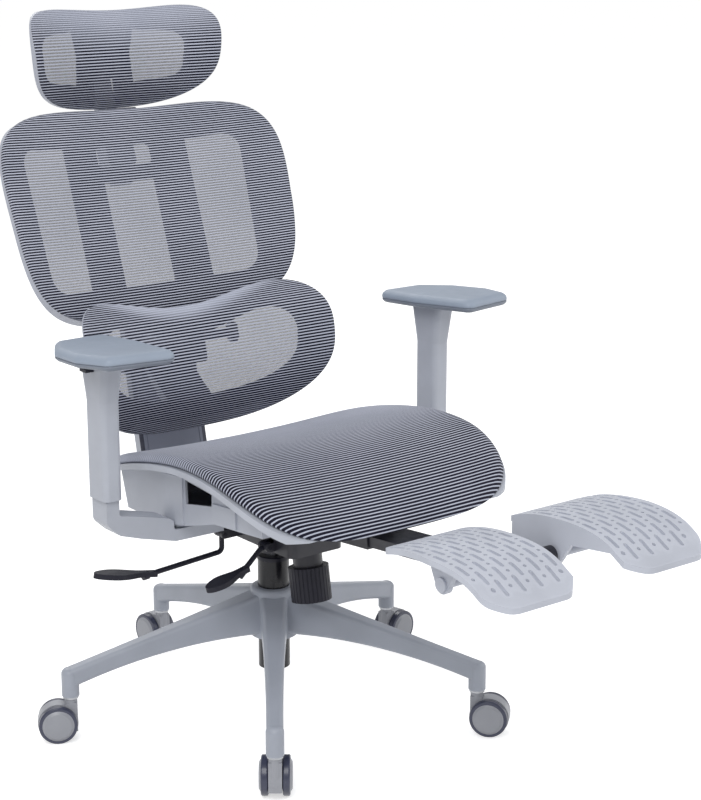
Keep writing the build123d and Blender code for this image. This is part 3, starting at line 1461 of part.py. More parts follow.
def pedal(side_sign, name):
    """One half of the footrest: a curved slotted tread with a side wall and an ear for the axle."""
    s = side_sign
    with BuildPart() as half:
        with BuildSketch(rocker_side):
            with BuildLine():
                upper = Spline(*tread)
                lower = Spline(*shifted(tread, pedal_thick))
                Line(upper @ 0, lower @ 0)
                Line(upper @ 1, lower @ 1)
            make_face()
        extrude(amount=s * 300)
        with BuildSketch(Plane.XY.offset(axle_z - 60)):
            with BuildLine():
                FilletPolyline((s * pedal_inner, pedal_rear), (s * (pedal_outer - 9), pedal_rear),
                               (s * pedal_outer, crest_y), (s * (pedal_outer - 3), pedal_front + corner_cut),
                               (s * (pedal_outer - corner_cut), pedal_front + 1),
                               (s * (pedal_inner + corner_cut - 4), pedal_front + 1),
                               (s * pedal_inner, pedal_front + corner_cut - 4), radius=corner_round)
                Line((s * pedal_inner, pedal_front + corner_cut - 4), (s * pedal_inner, pedal_rear))
            make_face()
        extrude(amount=140, mode=Mode.INTERSECT)
        with BuildSketch(rocker_side.offset(s * pedal_inner)):
            with BuildLine():
                Polyline((pedal_rear - 2, pedal_rear_z - 4), (pedal_rear - 2, pedal_rear_z - 34),
                         (axle_y + 20, axle_z - 9), (axle_y - 12, axle_z - 9), (axle_y - 32, axle_z + 20),
                         (pedal_front + 46, pedal_front_z + 12), (pedal_front + 62, pedal_rear_z + 4),
                         (crest_y, pedal_rear_z + 13), (pedal_rear - 30, pedal_rear_z + 5), close=True)
            make_face()
            with Locations((axle_y, axle_z)):
                Circle(pedal_ear_radius)
        extrude(amount=s * pedal_wall)
        with BuildSketch(rocker_side.offset(s * pedal_ear_x)):
            with BuildLine():
                Polyline((axle_y + 34, pedal_rear_z + 11), (axle_y + pedal_ear_radius - 1, axle_z),
                         (axle_y - pedal_ear_radius + 1, axle_z), (axle_y - 36, pedal_rear_z + 13), close=True)
            make_face()
            with Locations((axle_y, axle_z)):
                Circle(pedal_ear_radius - 2)
        extrude(amount=s * pedal_ear_thick)
        with BuildSketch(axle_plane):
            Circle(pedal_axle_radius + running)
        extrude(amount=s * 300, mode=Mode.SUBTRACT)
        with BuildSketch(Plane.XY.offset(axle_z + 10)):
            for row in range(hole_rows):
                x = s * (pedal_inner + first_row + row_pitch * row)
                for i in range(holes_in_row):
                    y = hole_start - hole_step * i
                    at_end = i == holes_in_row - 1
                    if at_end and row in (0, hole_rows - 2):
                        with Locations((x, y)):
                            Circle(screw_hole / 2)
                    elif (i == 0 and row % 2 == 0) or (at_end and row == hole_rows - 1):
                        continue
                    elif (i + row) % 2 == 0:
                        with Locations((x, y)):
                            SlotOverall(slot_length, slot_width, rotation=90)
                    else:
                        with Locations((x, y)):
                            Circle(dot_diameter / 2)
        extrude(amount=70, mode=Mode.SUBTRACT)
    save(half.part, "pedal_" + name)


pedal(-1, "right")
pedal(1, "left")
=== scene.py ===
import bpy
import bmesh
import math
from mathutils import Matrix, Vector


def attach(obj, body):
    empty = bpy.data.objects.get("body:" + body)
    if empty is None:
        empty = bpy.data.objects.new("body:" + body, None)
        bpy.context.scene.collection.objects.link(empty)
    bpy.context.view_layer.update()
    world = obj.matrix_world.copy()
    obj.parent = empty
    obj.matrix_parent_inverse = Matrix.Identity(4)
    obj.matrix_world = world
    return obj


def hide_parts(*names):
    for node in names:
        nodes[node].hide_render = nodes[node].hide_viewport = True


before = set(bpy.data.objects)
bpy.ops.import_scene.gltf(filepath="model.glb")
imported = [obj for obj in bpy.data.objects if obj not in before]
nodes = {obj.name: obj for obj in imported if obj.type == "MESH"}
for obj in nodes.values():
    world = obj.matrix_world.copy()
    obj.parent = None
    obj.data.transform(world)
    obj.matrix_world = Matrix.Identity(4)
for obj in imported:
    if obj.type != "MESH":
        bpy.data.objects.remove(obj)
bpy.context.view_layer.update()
scene = bpy.context.scene


# ------------------------------------------------------------ colours and small helpers
def lin(r, g, b):
    """Linear colour of an 8-bit one."""
    def one(c):
        c = c / 255.0
        return c / 12.92 if c <= 0.04045 else ((c + 0.055) / 1.055) ** 2.4
    return (one(r), one(g), one(b), 1.0)


def mesh_object(name, verts, faces, uvs=None, tones=None):
    """Smooth mesh, with a layer of metres along the cloth and one of its tone where they are given."""
    me = bpy.data.meshes.new(name)
    me.from_pydata([tuple(v) for v in verts], [], faces)
    me.update()
    if uvs is not None:
        layer = me.uv_layers.new(name="cloth")
        for loop in me.loops:
            layer.data[loop.index].uv = uvs[loop.vertex_index]
    if tones is not None:
        layer = me.uv_layers.new(name="tone")
        for loop in me.loops:
            layer.data[loop.index].uv = tones[loop.vertex_index]
    for p in me.polygons:
        p.use_smooth = True
    ob = bpy.data.objects.new(name, me)
    scene.collection.objects.link(ob)
    return ob


def new_material(name):
    m = bpy.data.materials.new(name)
    m.use_nodes = True
    t = m.node_tree
    for n in list(t.nodes):
        t.nodes.remove(n)
    out = t.nodes.new("ShaderNodeOutputMaterial")
    return m, t, out


class Graph:
    """Short calls for building a node tree."""

    def __init__(self, tree):
        self.t = tree

    def node(self, kind, **sets):
        n = self.t.nodes.new(kind)
        for k, v in sets.items():
            setattr(n, k, v)
        return n

    def link(self, a, b):
        self.t.links.new(a, b)

    def put(self, socket, value):
        if hasattr(value, "is_output"):
            self.link(value, socket)
        else:
            socket.default_value = value

    def math(self, op, a, b=None, c=None, clamp=False):
        n = self.node("ShaderNodeMath", operation=op, use_clamp=clamp)
        self.put(n.inputs[0], a)
        if b is not None:
            self.put(n.inputs[1], b)
        if c is not None:
            self.put(n.inputs[2], c)
        return n.outputs[0]

    def ramp(self, fac, stops):
        n = self.node("ShaderNodeValToRGB")
        e = n.color_ramp.elements
        while len(e) < len(stops):
            e.new(0.5)
        for i, (pos, col) in enumerate(stops):
            e[i].position = pos
            e[i].color = col
        self.put(n.inputs[0], fac)
        return n.outputs[0]

    def mix(self, fac, a, b):
        n = self.node("ShaderNodeMix", data_type="RGBA")
        self.put(n.inputs[0], fac)
        self.put(n.inputs[6], a)
        self.put(n.inputs[7], b)
        return n.outputs[2]

    def noise(self, coord, scale, detail=4.0, rough=0.5):
        n = self.node("ShaderNodeTexNoise")
        self.put(n.inputs["Vector"], coord)
        n.inputs["Scale"].default_value = scale
        n.inputs["Detail"].default_value = detail
        n.inputs["Roughness"].default_value = rough
        return n.outputs["Fac"]

    def bump(self, height, strength, distance, normal=None):
        n = self.node("ShaderNodeBump")
        n.inputs["Strength"].default_value = strength
        n.inputs["Distance"].default_value = distance
        self.put(n.inputs["Height"], height)
        if normal is not None:
            self.link(normal, n.inputs["Normal"])
        return n.outputs[0]


def principled(g, base, rough, bump=None, metal=0.0, spec=0.5, coat=0.0, sheen=0.0):
    p = g.node("ShaderNodeBsdfPrincipled")
    g.put(p.inputs["Base Color"], base)
    g.put(p.inputs["Roughness"], rough)
    p.inputs["Metallic"].default_value = metal
    p.inputs["Specular IOR Level"].default_value = spec
    p.inputs["IOR"].default_value = 1.5
    p.inputs["Coat Weight"].default_value = coat
    p.inputs["Coat Roughness"].default_value = 0.1
    p.inputs["Sheen Weight"].default_value = sheen
    p.inputs["Sheen Roughness"].default_value = 0.4
    if bump is not None:
        g.link(bump, p.inputs["Normal"])
    return p.outputs[0]


RIM_FROM = 0.88                 # share of a panel's half size where its outer rim begins


def moulded(name, colour, rough=0.45, grain=1400.0, grain_bump=0.12, mottled=0.06, edge=0.10,
            spec=0.5, coat=0.0, shell=None, painted_shade_colour=None, turned=-0.35):
    """Moulded plastic or coated metal: fine grain, a little mottling, lighter sharp edges.

    With shell given as a panel, the faces that look forward more than turned, except on its outer rim,
    take the given dark colour as painted shade: it stands for the shade behind the cloth.
    """
    m, t, out = new_material(name)
    g = Graph(t)
    tc = g.node("ShaderNodeTexCoord")
    obj = tc.outputs["Object"]
    blotch = g.noise(obj, 14.0, 3.0)
    fine = g.noise(obj, grain, 2.0, 0.6)
    base = tuple(colour)
    dark = tuple(c * (1 - mottled) for c in base[:3]) + (1.0,)
    pale = tuple(min(1.0, c * (1 + mottled)) for c in base[:3]) + (1.0,)
    col = g.ramp(blotch, [(0.3, dark), (0.7, pale)])
    if shell is not None:
        r0 = math.radians(shell["lean"])
        up, out_way = (0.0, math.sin(r0), math.cos(r0)), (0.0, -math.cos(r0), math.sin(r0))

        def along(vector, way):
            d = g.node("ShaderNodeVectorMath", operation="DOT_PRODUCT")
            g.link(vector, d.inputs[0])
            d.inputs[1].default_value = way
            return d.outputs["Value"]

        off = g.node("ShaderNodeVectorMath", operation="SUBTRACT")
        g.link(obj, off.inputs[0])
        off.inputs[1].default_value = (0.0, shell["y"], shell["z"])
        x, h = along(off.outputs[0], (1, 0, 0)), along(off.outputs[0], up)
        nx, nh = along(tc.outputs["Normal"], (1, 0, 0)), along(tc.outputs["Normal"], up)
        # the height is measured from the dip of the upper edge and the rise of the lower one
        share = g.math("ABSOLUTE", g.math("DIVIDE", x, shell["hw"]))
        full = g.math("SUBTRACT", 1.0, g.math("POWER", share, 2.0), clamp=True)
        dip = g.math("MULTIPLY", g.math("POWER", full, shell["hollow"]), shell["dt"])
        rise = g.math("MULTIPLY", full, -shell["dl"])
        above = g.math("GREATER_THAN", h, 0.0)
        level = g.math("ADD", h, g.math("MULTIPLY_ADD", above, g.math("SUBTRACT", dip, rise), rise))
        reach = g.math("ADD", g.math("POWER", share, shell["pw"]),
                       g.math("POWER", g.math("ABSOLUTE", g.math("DIVIDE", level, shell["hh"])), shell["pw"]))
        outwards = g.math("MULTIPLY_ADD", nx, x, g.math("MULTIPLY", nh, h))
        rim = g.math("MULTIPLY", g.math("GREATER_THAN", reach, RIM_FROM ** shell["pw"]),
                     g.math("GREATER_THAN", outwards, 0.02))
        rear = g.math("LESS_THAN", along(tc.outputs["Normal"], out_way), turned)
        # painted shade: forward faces off the rim, behind the cloth, are coloured dark navy for the shade
        # there
        painted_shade = g.ramp(blotch, [(0.3, tuple(c * 0.9 for c in painted_shade_colour[:3]) + (1,)),
                                (0.7, tuple(c * 1.1 for c in painted_shade_colour[:3]) + (1,))])
        col = g.mix(g.math("MAXIMUM", rim, rear), painted_shade, col)
    geo = g.node("ShaderNodeNewGeometry")
    # sharp convex edges are made lighter in colour
    sharp_edge_mask = g.ramp(geo.outputs["Pointiness"], [(0.505, (0, 0, 0, 1)), (0.56, (1, 1, 1, 1))])
    edge_lighter = tuple(min(1.0, c * 1.25 + 0.03) for c in base[:3]) + (1.0,)
    fac = g.math("MULTIPLY", sharp_edge_mask, edge)
    col = g.mix(fac, col, edge_lighter)
    glossier, duller = (rough - 0.05,) * 3 + (1,), (rough + 0.07,) * 3 + (1,)
    r = g.ramp(g.noise(obj, 55.0, 4.0), [(0.3, glossier), (0.75, duller)])
    b = g.bump(fine, grain_bump, 0.0004)
    g.link(principled(g, col, r, b, spec=spec, coat=coat), out.inputs["Surface"])
    return m


def metal(name, colour, rough, strength=0.05):
    """Metal with fine streaks across its length."""
    m, t, out = new_material(name)
    g = Graph(t)
    tc = g.node("ShaderNodeTexCoord")
    mp = g.node("ShaderNodeMapping")
    mp.inputs["Scale"].default_value = (1.0, 1.0, 40.0)
    g.link(tc.outputs["Object"], mp.inputs["Vector"])
    streak = g.noise(mp.outputs[0], 60.0, 3.0)
    r = g.ramp(streak, [(0.3, (rough * 0.7,) * 3 + (1,)), (0.7, (rough * 1.3,) * 3 + (1,))])
    col = g.ramp(g.noise(tc.outputs["Object"], 30.0), [(0.3, tuple(c * 0.93 for c in colour[:3]) + (1,)),
                                                      (0.7, tuple(colour[:3]) + (1,))])
    b = g.bump(streak, strength, 0.0002)
    g.link(principled(g, col, r, b, metal=1.0), out.inputs["Surface"])
    return m


KNIT_PITCH = 0.0050             # one rib and one sheer row
SHEER_SHARE = 0.55
STITCH = 0.0013                 # from one stitch of a rib to the next
THREADS = 0.0020                # from one thread of a sheer row to the next


def knit(name, see_through):
    """Banded knit: close pale ribs and sheer navy rows in turn.

    The layer cloth holds metres along the cloth, with v drawn out or closed up where the rows are, and
    the layer tone how far the sheer rows close up (u) or widen (v); the widening is painted shade.
    """
    m, t, out = new_material(name)
    g = Graph(t)
    uv = g.node("ShaderNodeUVMap", uv_map="cloth")
    sep = g.node("ShaderNodeSeparateXYZ")
    g.link(uv.outputs[0], sep.inputs[0])
    u, v = sep.outputs[0], sep.outputs[1]
    tone = g.node("ShaderNodeSeparateXYZ")
    g.link(g.node("ShaderNodeUVMap", uv_map="tone").outputs[0], tone.inputs[0])
    closed, shade_widening = tone.outputs[0], tone.outputs[1]
    tc = g.node("ShaderNodeTexCoord")
    wob = g.noise(uv.outputs[0], 60.0, 2.0)
    v2 = g.math("MULTIPLY_ADD", wob, 0.0003, v)
    row = g.math("DIVIDE", v2, KNIT_PITCH)
    ph = g.math("FRACT", row)
    tri = g.math("ABSOLUTE", g.math("SUBTRACT", ph, 0.5))          # 0 in the middle of a rib, .5 between
    edge0 = 0.5 - SHEER_SHARE / 2
    # wider sheer rows darken the cloth where the second tone says: painted shade
    opened = g.math("MULTIPLY_ADD", shade_widening, 0.12, g.math("SUBTRACT", tri, edge0 - 0.03))
    band = g.math("MULTIPLY", opened, 1 / 0.06, clamp=True)                                # 1 in a sheer row
    # stitches: slanted legs across each rib, and threads with holes between them across each sheer row
    leg = g.math("SINE", g.math("MULTIPLY_ADD", tri, 9.0, g.math("MULTIPLY", u, 2 * math.pi / STITCH)))
    step = g.math("MULTIPLY", g.math("FLOOR", row), 2.1)
    thread = g.math("SINE", g.math("ADD", step, g.math("MULTIPLY", u, 2 * math.pi / THREADS)))
    patch = g.noise(uv.outputs[0], 420.0, 2.0)
    thread = g.math("MULTIPLY_ADD", patch, 0.8, g.math("SUBTRACT", thread, 0.4))
    hole = g.math("MULTIPLY_ADD", thread, 0.33, 0.22, clamp=True)
    hole = g.math("MULTIPLY", g.math("MULTIPLY", hole, band), g.math("SUBTRACT", 1.0, closed))
    across = g.math("POWER", g.math("DIVIDE", tri, edge0 + 0.05), 2.0)
    rib_round = g.math("SQRT", g.math("SUBTRACT", 1.0, across, clamp=True))
    shade = g.noise(tc.outputs["Object"], 9.0, 3.0)
    rib_col = g.ramp(shade, [(0.3, lin(184, 189, 205)), (0.7, lin(196, 200, 215))])
    rib_col = g.mix(g.math("MULTIPLY_ADD", leg, 0.08, 0.08), rib_col, lin(128, 132, 150))
    # dark navy of the sheer rows: partly the thread's own colour, partly painted shade for the shade behind
    # the cloth
    thread_and_shade = g.ramp(shade, [(0.3, lin(14, 14, 32)), (0.7, lin(24, 24, 44))])
    col = g.mix(band, rib_col, g.mix(closed, thread_and_shade, rib_col))
    height = g.math("ADD", rib_round, g.math("MULTIPLY", leg, 0.15))
    b = g.bump(height, 0.5, 0.0006)
    surf = principled(g, col, 0.78, b, spec=0.2, sheen=0.10)
    if see_through:
        clear = g.node("ShaderNodeBsdfTransparent")
        mx = g.node("ShaderNodeMixShader")
        g.link(hole, mx.inputs[0])
        g.link(surf, mx.inputs[1])
        g.link(clear.outputs[0], mx.inputs[2])
        surf = mx.outputs[0]
    g.link(surf, out.inputs["Surface"])
    return m


# ------------------------------------------------------------ the stretched cloth panels
def bow(half, sag):
    """Radius of an arc from its half chord and its sag."""
    return (half * half + sag * sag) / (2 * sag)


# each panel: place, lean in degrees, half sizes, squareness, taper, dips of its edges, curve across and
# upright; then how the rows of its cloth run, and where they close up or widen; the widening darkens the
# lower part with painted shade
PANELS = {
    "upper_back": dict(rows=1.16, dense=(.10, 1.5), low=.0, closed=(.88, 1.0, .10), shade_widening=(.10, .9, .35),
                       y=.324, z=.774, lean=20.3, hw=.265, hh=.197, pw=3.37, taper=.052, dt=.027, dl=.024,
                       hollow=1, wrap=.021, bulge=.010),
    "lumbar": dict(rows=1.0, dense=(.05, 6.8), low=2.0, closed=(.78, .97, .85), shade_widening=(.20, .85, .9),
                   y=.215, z=.554, lean=15.5, hw=.234, hh=.123, pw=2.9, taper=.03, dt=.050, dl=-.002,
                   hollow=2, wrap=.076, bulge=.041),
    "headrest": dict(rows=1.0, dense=(.01, 5.8), low=.0, closed=(.15, .95, .60), shade_widening=(.0, .7, .30),
                     y=.418, z=1.025, lean=5.0, hw=.176, hh=.087, pw=3.4, taper=.056, dt=.023, dl=-.009,
                     hollow=1, wrap=.039, bulge=.038),
}


def panel_xy(P, a, b, inset=0.0):
    """Point of the panel for a, b in the unit square; its rim maps to the panel's outline."""
    s = max(abs(a), abs(b))
    if s < 1e-9:
        cx = cy = 0.0
    else:
        n = math.hypot(a, b)
        c, d = abs(a) / n, abs(b) / n
        r = (c ** P["pw"] + d ** P["pw"]) ** (-1 / P["pw"])
        cx = math.copysign(s * r * c, a)
        cy = math.copysign(s * r * d, b)
    hw, hh = P["hw"] - inset, P["hh"] - inset
    dip = P["dt"] * (1 - cx * cx) ** P["hollow"] if cy > 0 else -P["dl"] * (1 - cx * cx)
    return hw * cx * (1 + P["taper"] * cy), hh * cy - dip * abs(cy)


def panel_out(P, x, h, depth=0.0):
    R = bow(P["hw"], P["wrap"])
    A = bow(P["hh"], P["bulge"])
    fall = A - math.sqrt(max(A * A - h * h, 1e-9))
    return R - depth - math.sqrt((R + fall) ** 2 - x * x)


def panel_point(P, x, h, n):
    r = math.radians(P["lean"])
    return (x, P["y"] + h * math.sin(r) - n * math.cos(r), P["z"] + h * math.cos(r) + n * math.sin(r))


# steps of the turned edge: how far inside the outline and how far back, in radii of the turn
EDGE_STEPS = ((0.28, -0.10), (0.08, -0.30), (0.0, -0.62), (0.05, -1.0), (0.30, -1.35))


def step_up(value, low, high, top):
    k = max(0.0, min(1.0, (value - low) / (high - low)))
    return top * k * k * (3 - 2 * k)


def cloth_panel(name, key, body, node, material, proud=0.0008, turn=0.0045, N=56):
    """Stretched cloth over a panel frame, with its edge drawn back round the frame."""
    P = PANELS[key]
    A = bow(P["hh"], P["bulge"])
    R = bow(P["hw"], P["wrap"])
    verts, uvs, tones, faces = [], [], [], []
    idx = {}

    def add(x, h, n, du=0.0, dv=0.0):
        verts.append(panel_point(P, x, h, n))
        # the rows draw together towards the top edge, on the lumbar support towards the bottom too
        tight = P["dense"][1] * max(0.0, h - P["dense"][0]) ** 2 - P["low"] * max(0.0, -h - 0.03) ** 2
        uvs.append((R * math.asin(max(-1, min(1, x / R))) + du,
                    (A * math.asin(max(-1, min(1, h / A))) + dv) * P["rows"] + tight))
        # measured from the dip of the edge, so that the bands follow it
        rise = h + (P["dt"] * (1 - min(1.0, (x / P["hw"]) ** 2)) ** P["hollow"] if h > 0 else 0.0)
        # the second tone widens the sheer rows towards the bottom: painted shade
        tones.append((step_up(rise / P["hh"], *P["closed"]), step_up(-h / P["hh"], *P["shade_widening"])))
        return len(verts) - 1

    for j in range(N + 1):
        for i in range(N + 1):
            a, b = 2 * i / N - 1, 2 * j / N - 1
            x, h = panel_xy(P, a, b, inset=turn * 0.55)
            idx[i, j] = add(x, h, panel_out(P, x, h) + proud)
    for j in range(N):
        for i in range(N):
            faces.append((idx[i, j], idx[i + 1, j], idx[i + 1, j + 1], idx[i, j + 1]))
    ring = [(i, 0) for i in range(N)] + [(N, j) for j in range(N)] + \
           [(i, N) for i in range(N, 0, -1)] + [(0, j) for j in range(N, 0, -1)]
    last = [idx[k] for k in ring]
    for inset_k, back_k in EDGE_STEPS:
        row = []
        for i, j in ring:
            a, b = 2 * i / N - 1, 2 * j / N - 1
            x, h = panel_xy(P, a, b, inset=turn * inset_k - 0.0006)
            x0, h0 = panel_xy(P, a, b, inset=turn * 0.55)
            n = panel_out(P, x0, h0) + proud + turn * back_k
            side_way = math.copysign(1, a) if abs(a) >= abs(b) else 0.0
            end_way = math.copysign(1, b) if abs(b) > abs(a) else 0.0
            row.append(add(x, h, n, du=-side_way * turn * back_k, dv=-end_way * turn * back_k))
        for k in range(len(ring)):
            k2 = (k + 1) % len(ring)
            faces.append((last[k], row[k], row[k2], last[k2]))
        last = row
    ob = mesh_object(name, verts, faces, uvs, tones)
    ob.data.materials.append(material)
    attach(ob, body)
    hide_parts(node)
    return ob


# ------------------------------------------------------------ materials
cloth_open = knit("banded_knit_open", True)
cloth_seat = knit("banded_knit_seat", False)
# dark navy for the faces of the frames behind the cloth: painted shade
SHADE_NAVY = lin(38, 38, 58)


grey = lin(174, 178, 188)
pale = lin(184, 188, 199)
rim_grey = lin(172, 176, 188)
# a panel too large to have a rim, so that the forward faces of carrier and spine all take the painted shade
PANELS["carrier"] = dict(PANELS["lumbar"], hw=9.0, hh=9.0)
M = {
    "base": moulded("base_nylon", lin(158, 163, 174), rough=0.40, spec=0.45, edge=0.15),
    "grey": moulded("grey_nylon", grey, rough=0.46, edge=0.12),
    "pale": moulded("pale_nylon", pale, rough=0.44, edge=0.15),
    "upper": moulded("upper_shell", rim_grey, rough=0.5, shell=PANELS["upper_back"], painted_shade_colour=SHADE_NAVY),
    "lumbar": moulded("lumbar_frame", rim_grey, rough=0.5, shell=PANELS["lumbar"], painted_shade_colour=SHADE_NAVY),
    "head": moulded("head_shell", rim_grey, rough=0.5, shell=PANELS["headrest"], painted_shade_colour=SHADE_NAVY),
    "carrier": moulded("carrier_nylon", rim_grey, rough=0.55, shell=PANELS["carrier"], painted_shade_colour=SHADE_NAVY,
                       turned=0.35),
    "post": moulded("post_nylon", grey, rough=0.5, shell=PANELS["carrier"], painted_shade_colour=SHADE_NAVY, turned=0.35),
    "cover": moulded("spine_slate", lin(128, 132, 147), rough=0.42),
    "black": moulded("black_nylon", lin(24, 24, 37), rough=0.48, edge=0.12, mottled=0.1, spec=0.3),
    "coat": moulded("black_powder_coat", lin(24, 24, 36), rough=0.42, grain=900.0, grain_bump=0.25,
                    edge=0.15),
    "enamel": moulded("black_enamel", lin(10, 10, 18), rough=0.30, grain_bump=0.03, coat=0.1, spec=0.3,
                      edge=0.05),
    "hub": moulded("hub_nylon", lin(150, 152, 159), rough=0.38, edge=0.2),
    "tyre": moulded("tyre_slate", lin(50, 54, 76), rough=0.34, grain=500.0, grain_bump=0.05, coat=0.25),
    "pad": moulded("pad_foam", lin(147, 158, 174), rough=0.52, grain=1100.0, grain_bump=0.30, mottled=0.04),
    "pad_base": moulded("pad_base_foam", lin(120, 127, 140), rough=0.55, grain=1100.0, grain_bump=0.30),
    "steel": metal("zinc_steel", lin(170, 172, 176), 0.32),
    "chrome": metal("chrome_steel", lin(176, 178, 184), 0.16, strength=0.01),
}
RULES = [
    ("star_base", "base"), ("caster_stems", "steel"), ("_hood", "hub"), ("_hubs", "hub"), ("_tyres", "tyre"),
    ("gas_lift_tube", "enamel"), ("gas_lift_bush", "black"), ("gas_lift_column", "chrome"),
    ("gas_lift_rod", "steel"), ("release_button", "steel"), ("recline_shaft", "steel"),
    ("back_bolts", "black"), ("bolts", "steel"),
    ("headrest_pin", "steel"), ("headrest_post", "grey"), ("headrest_guide", "grey"),
    ("headrest_shell", "head"),
    ("upper_back_shell", "upper"), ("lumbar_frame", "lumbar"), ("lumbar_carrier", "carrier"),
    ("spine_cover", "cover"), ("back_spine", "post"), ("mechanism_box", "coat"), ("tension_tube", "coat"),
    ("tension_knob", "black"), ("lever", "black"), ("footrest_rail", "coat"), ("footrest_axle", "pale"),
    ("footrest_guide", "coat"), ("pedal", "pale"), ("seat_frame", "grey"), ("seat_pan", "grey"),
    ("arm_pad", "pad"), ("arm_trigger", "black"), ("arm_", "grey"),
]
for node_name, ob in nodes.items():
    for part, key in RULES:
        if part in node_name:
            ob.data.materials.clear()
            ob.data.materials.append(M[key])
            break

# ------------------------------------------------------------ cloth on back, lumbar support and headrest
cloth_panel("upper_back_cloth", "upper_back", "back", "upper_back_mesh", cloth_open,
            turn=0.009, N=64)
cloth_panel("lumbar_cloth", "lumbar", "lumbar", "lumbar_mesh", cloth_open,
            N=56)
cloth_panel("headrest_cloth", "headrest", "headrest", "headrest_mesh", cloth_open,
            N=48)

# ------------------------------------------------------------ seat cloth
SEAT_LINE = [(.214, .396), (.150, .424), (.060, .455), (-.035, .477), (-.118, .486), (-.190, .482),
             (-.250, .466), (-.300, .442), (-.345, .413)]


def smooth_line(points):
    """Points on a Catmull-Rom curve through the given points, forty to a span, and the run length at each."""
    pts = [Vector((0, p[0], p[1])) for p in points]
    ext = [pts[0] * 2 - pts[1]] + pts + [pts[-1] * 2 - pts[-2]]
    dense = []
    for i in range(1, len(ext) - 2):
        p0, p1, p2, p3 = ext[i - 1:i + 3]
        for k in range(40):
            t = k / 40
            dense.append(0.5 * ((2 * p1) + (p2 - p0) * t + (2 * p0 - 5 * p1 + 4 * p2 - p3) * t * t
                                + (3 * p1 - p0 - 3 * p2 + p3) * t ** 3))
    dense.append(pts[-1])
    run = [0.0]
    for a, b in zip(dense, dense[1:]):
        run.append(run[-1] + (b - a).length)
    return dense, run


seat_dense, seat_run = smooth_line(SEAT_LINE)


def seat_at(y):
    """Height of the seat line, run length and slope at a depth y."""
    best = None
    for k in range(len(seat_dense) - 1):
        a, b = seat_dense[k], seat_dense[k + 1]
        if (a.y - y) * (b.y - y) <= 0 and a.y != b.y:
            f = (a.y - y) / (a.y - b.y)
            best = (a.z + (b.z - a.z) * f, seat_run[k] + (seat_run[k + 1] - seat_run[k]) * f,
                    (b.z - a.z) / (b.y - a.y))
            break
    if best is None:
        e = seat_dense[0] if y > seat_dense[0].y else seat_dense[-1]
        best = (e.z, 0.0 if y > seat_dense[0].y else seat_run[-1], 0.0)
    return best


SEAT_ROWS = 0.86                # rows of the seat against those of the lumbar support
SEAT_ROLL = 0.015               # radius of the seat's rolled edge
ROLL_DROP = 0.62                # share of it that the cloth goes down before it hangs straight
SEAT = dict(hw=.240, front=-.342, rear=.196, pw=4.2, taper=-.05)


def seat_xy(a, b, inset=0.0):
    s = max(abs(a), abs(b))
    if s < 1e-9:
        cx = cy = 0.0
    else:
        n = math.hypot(a, b)
        c, d = abs(a) / n, abs(b) / n
        r = (c ** SEAT["pw"] + d ** SEAT["pw"]) ** (-1 / SEAT["pw"])
        cx, cy = math.copysign(s * r * c, a), math.copysign(s * r * d, b)
    mid, half = (SEAT["front"] + SEAT["rear"]) / 2, (SEAT["rear"] - SEAT["front"]) / 2
    return (SEAT["hw"] - inset) * cx * (1 + SEAT["taper"] * cy), mid + (half - inset) * cy


def nearer_rim(a):
    """Puts more rows near the rim, so that the rolled edge is round."""
    return math.sin(a * math.pi / 2) * 0.5 + a * 0.5


def seat_cloth(N=72):
    """Stretched cloth over the seat frame, rolled down over its rim."""
    verts, uvs, tones, faces, idx = [], [], [], [], {}
    mid = (SEAT["front"] + SEAT["rear"]) / 2
    half = (SEAT["rear"] - SEAT["front"]) / 2

    def add(x, y, drop):
        z, run, slope = seat_at(y)
        dish = 0.001 - 0.008 * (1 - min(1.0, (x / SEAT["hw"]) ** 2))
        fx, fy = abs(x / SEAT["hw"]) ** 3, abs((y - mid) / half) ** 3
        share = fy / (fx + fy + 1e-9)
        verts.append((x, y, z + dish - drop))
        # the cloth that goes down over the rim is cloth too
        uvs.append((x + math.copysign(drop * (1 - share), x),
                    (run - math.copysign(drop * share, y - mid)) * SEAT_ROWS))
        # the rows close up towards the rear and widen towards the front edge; the widening darkens the front
        # with painted shade
        tones.append((step_up(y, -0.21, 0.08, 0.93), step_up(-y, 0.10, 0.26, 0.45)))
        return len(verts) - 1

    for j in range(N + 1):
        for i in range(N + 1):
            a, b = 2 * i / N - 1, 2 * j / N - 1
            a2, b2 = nearer_rim(a), nearer_rim(b)
            x, y = seat_xy(a2, b2)
            s = max(abs(a2), abs(b2))
            d = (1 - s) * min(SEAT["hw"], .26)
            k = max(0.0, 1 - d / SEAT_ROLL)
            idx[i, j] = add(x, y, SEAT_ROLL * (1 - math.sqrt(max(0.0, 1 - k * k))) * ROLL_DROP)
    for j in range(N):
        for i in range(N):
            faces.append((idx[i, j], idx[i + 1, j], idx[i + 1, j + 1], idx[i, j + 1]))
    ring = [(i, 0) for i in range(N)] + [(N, j) for j in range(N)] + \
           [(i, N) for i in range(N, 0, -1)] + [(0, j) for j in range(N, 0, -1)]
    last = [idx[k] for k in ring]
    for q, tuck in ((0.0016, 0.0), (0.0032, 0.0004), (0.0048, 0.0018), (0.0058, 0.004)):
        row = []
        for i, j in ring:
            a, b = 2 * i / N - 1, 2 * j / N - 1
            x, y = seat_xy(nearer_rim(a), nearer_rim(b), inset=tuck)
            row.append(add(x, y, SEAT_ROLL * ROLL_DROP + q))
        for k in range(len(ring)):
            k2 = (k + 1) % len(ring)
            faces.append((last[k], row[k], row[k2], last[k2]))
        last = row
    ob = mesh_object("seat_cloth", verts, faces, uvs, tones)
    ob.data.materials.append(cloth_seat)
    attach(ob, "column")
    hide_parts("seat_mesh")
    return ob


seat_cloth()

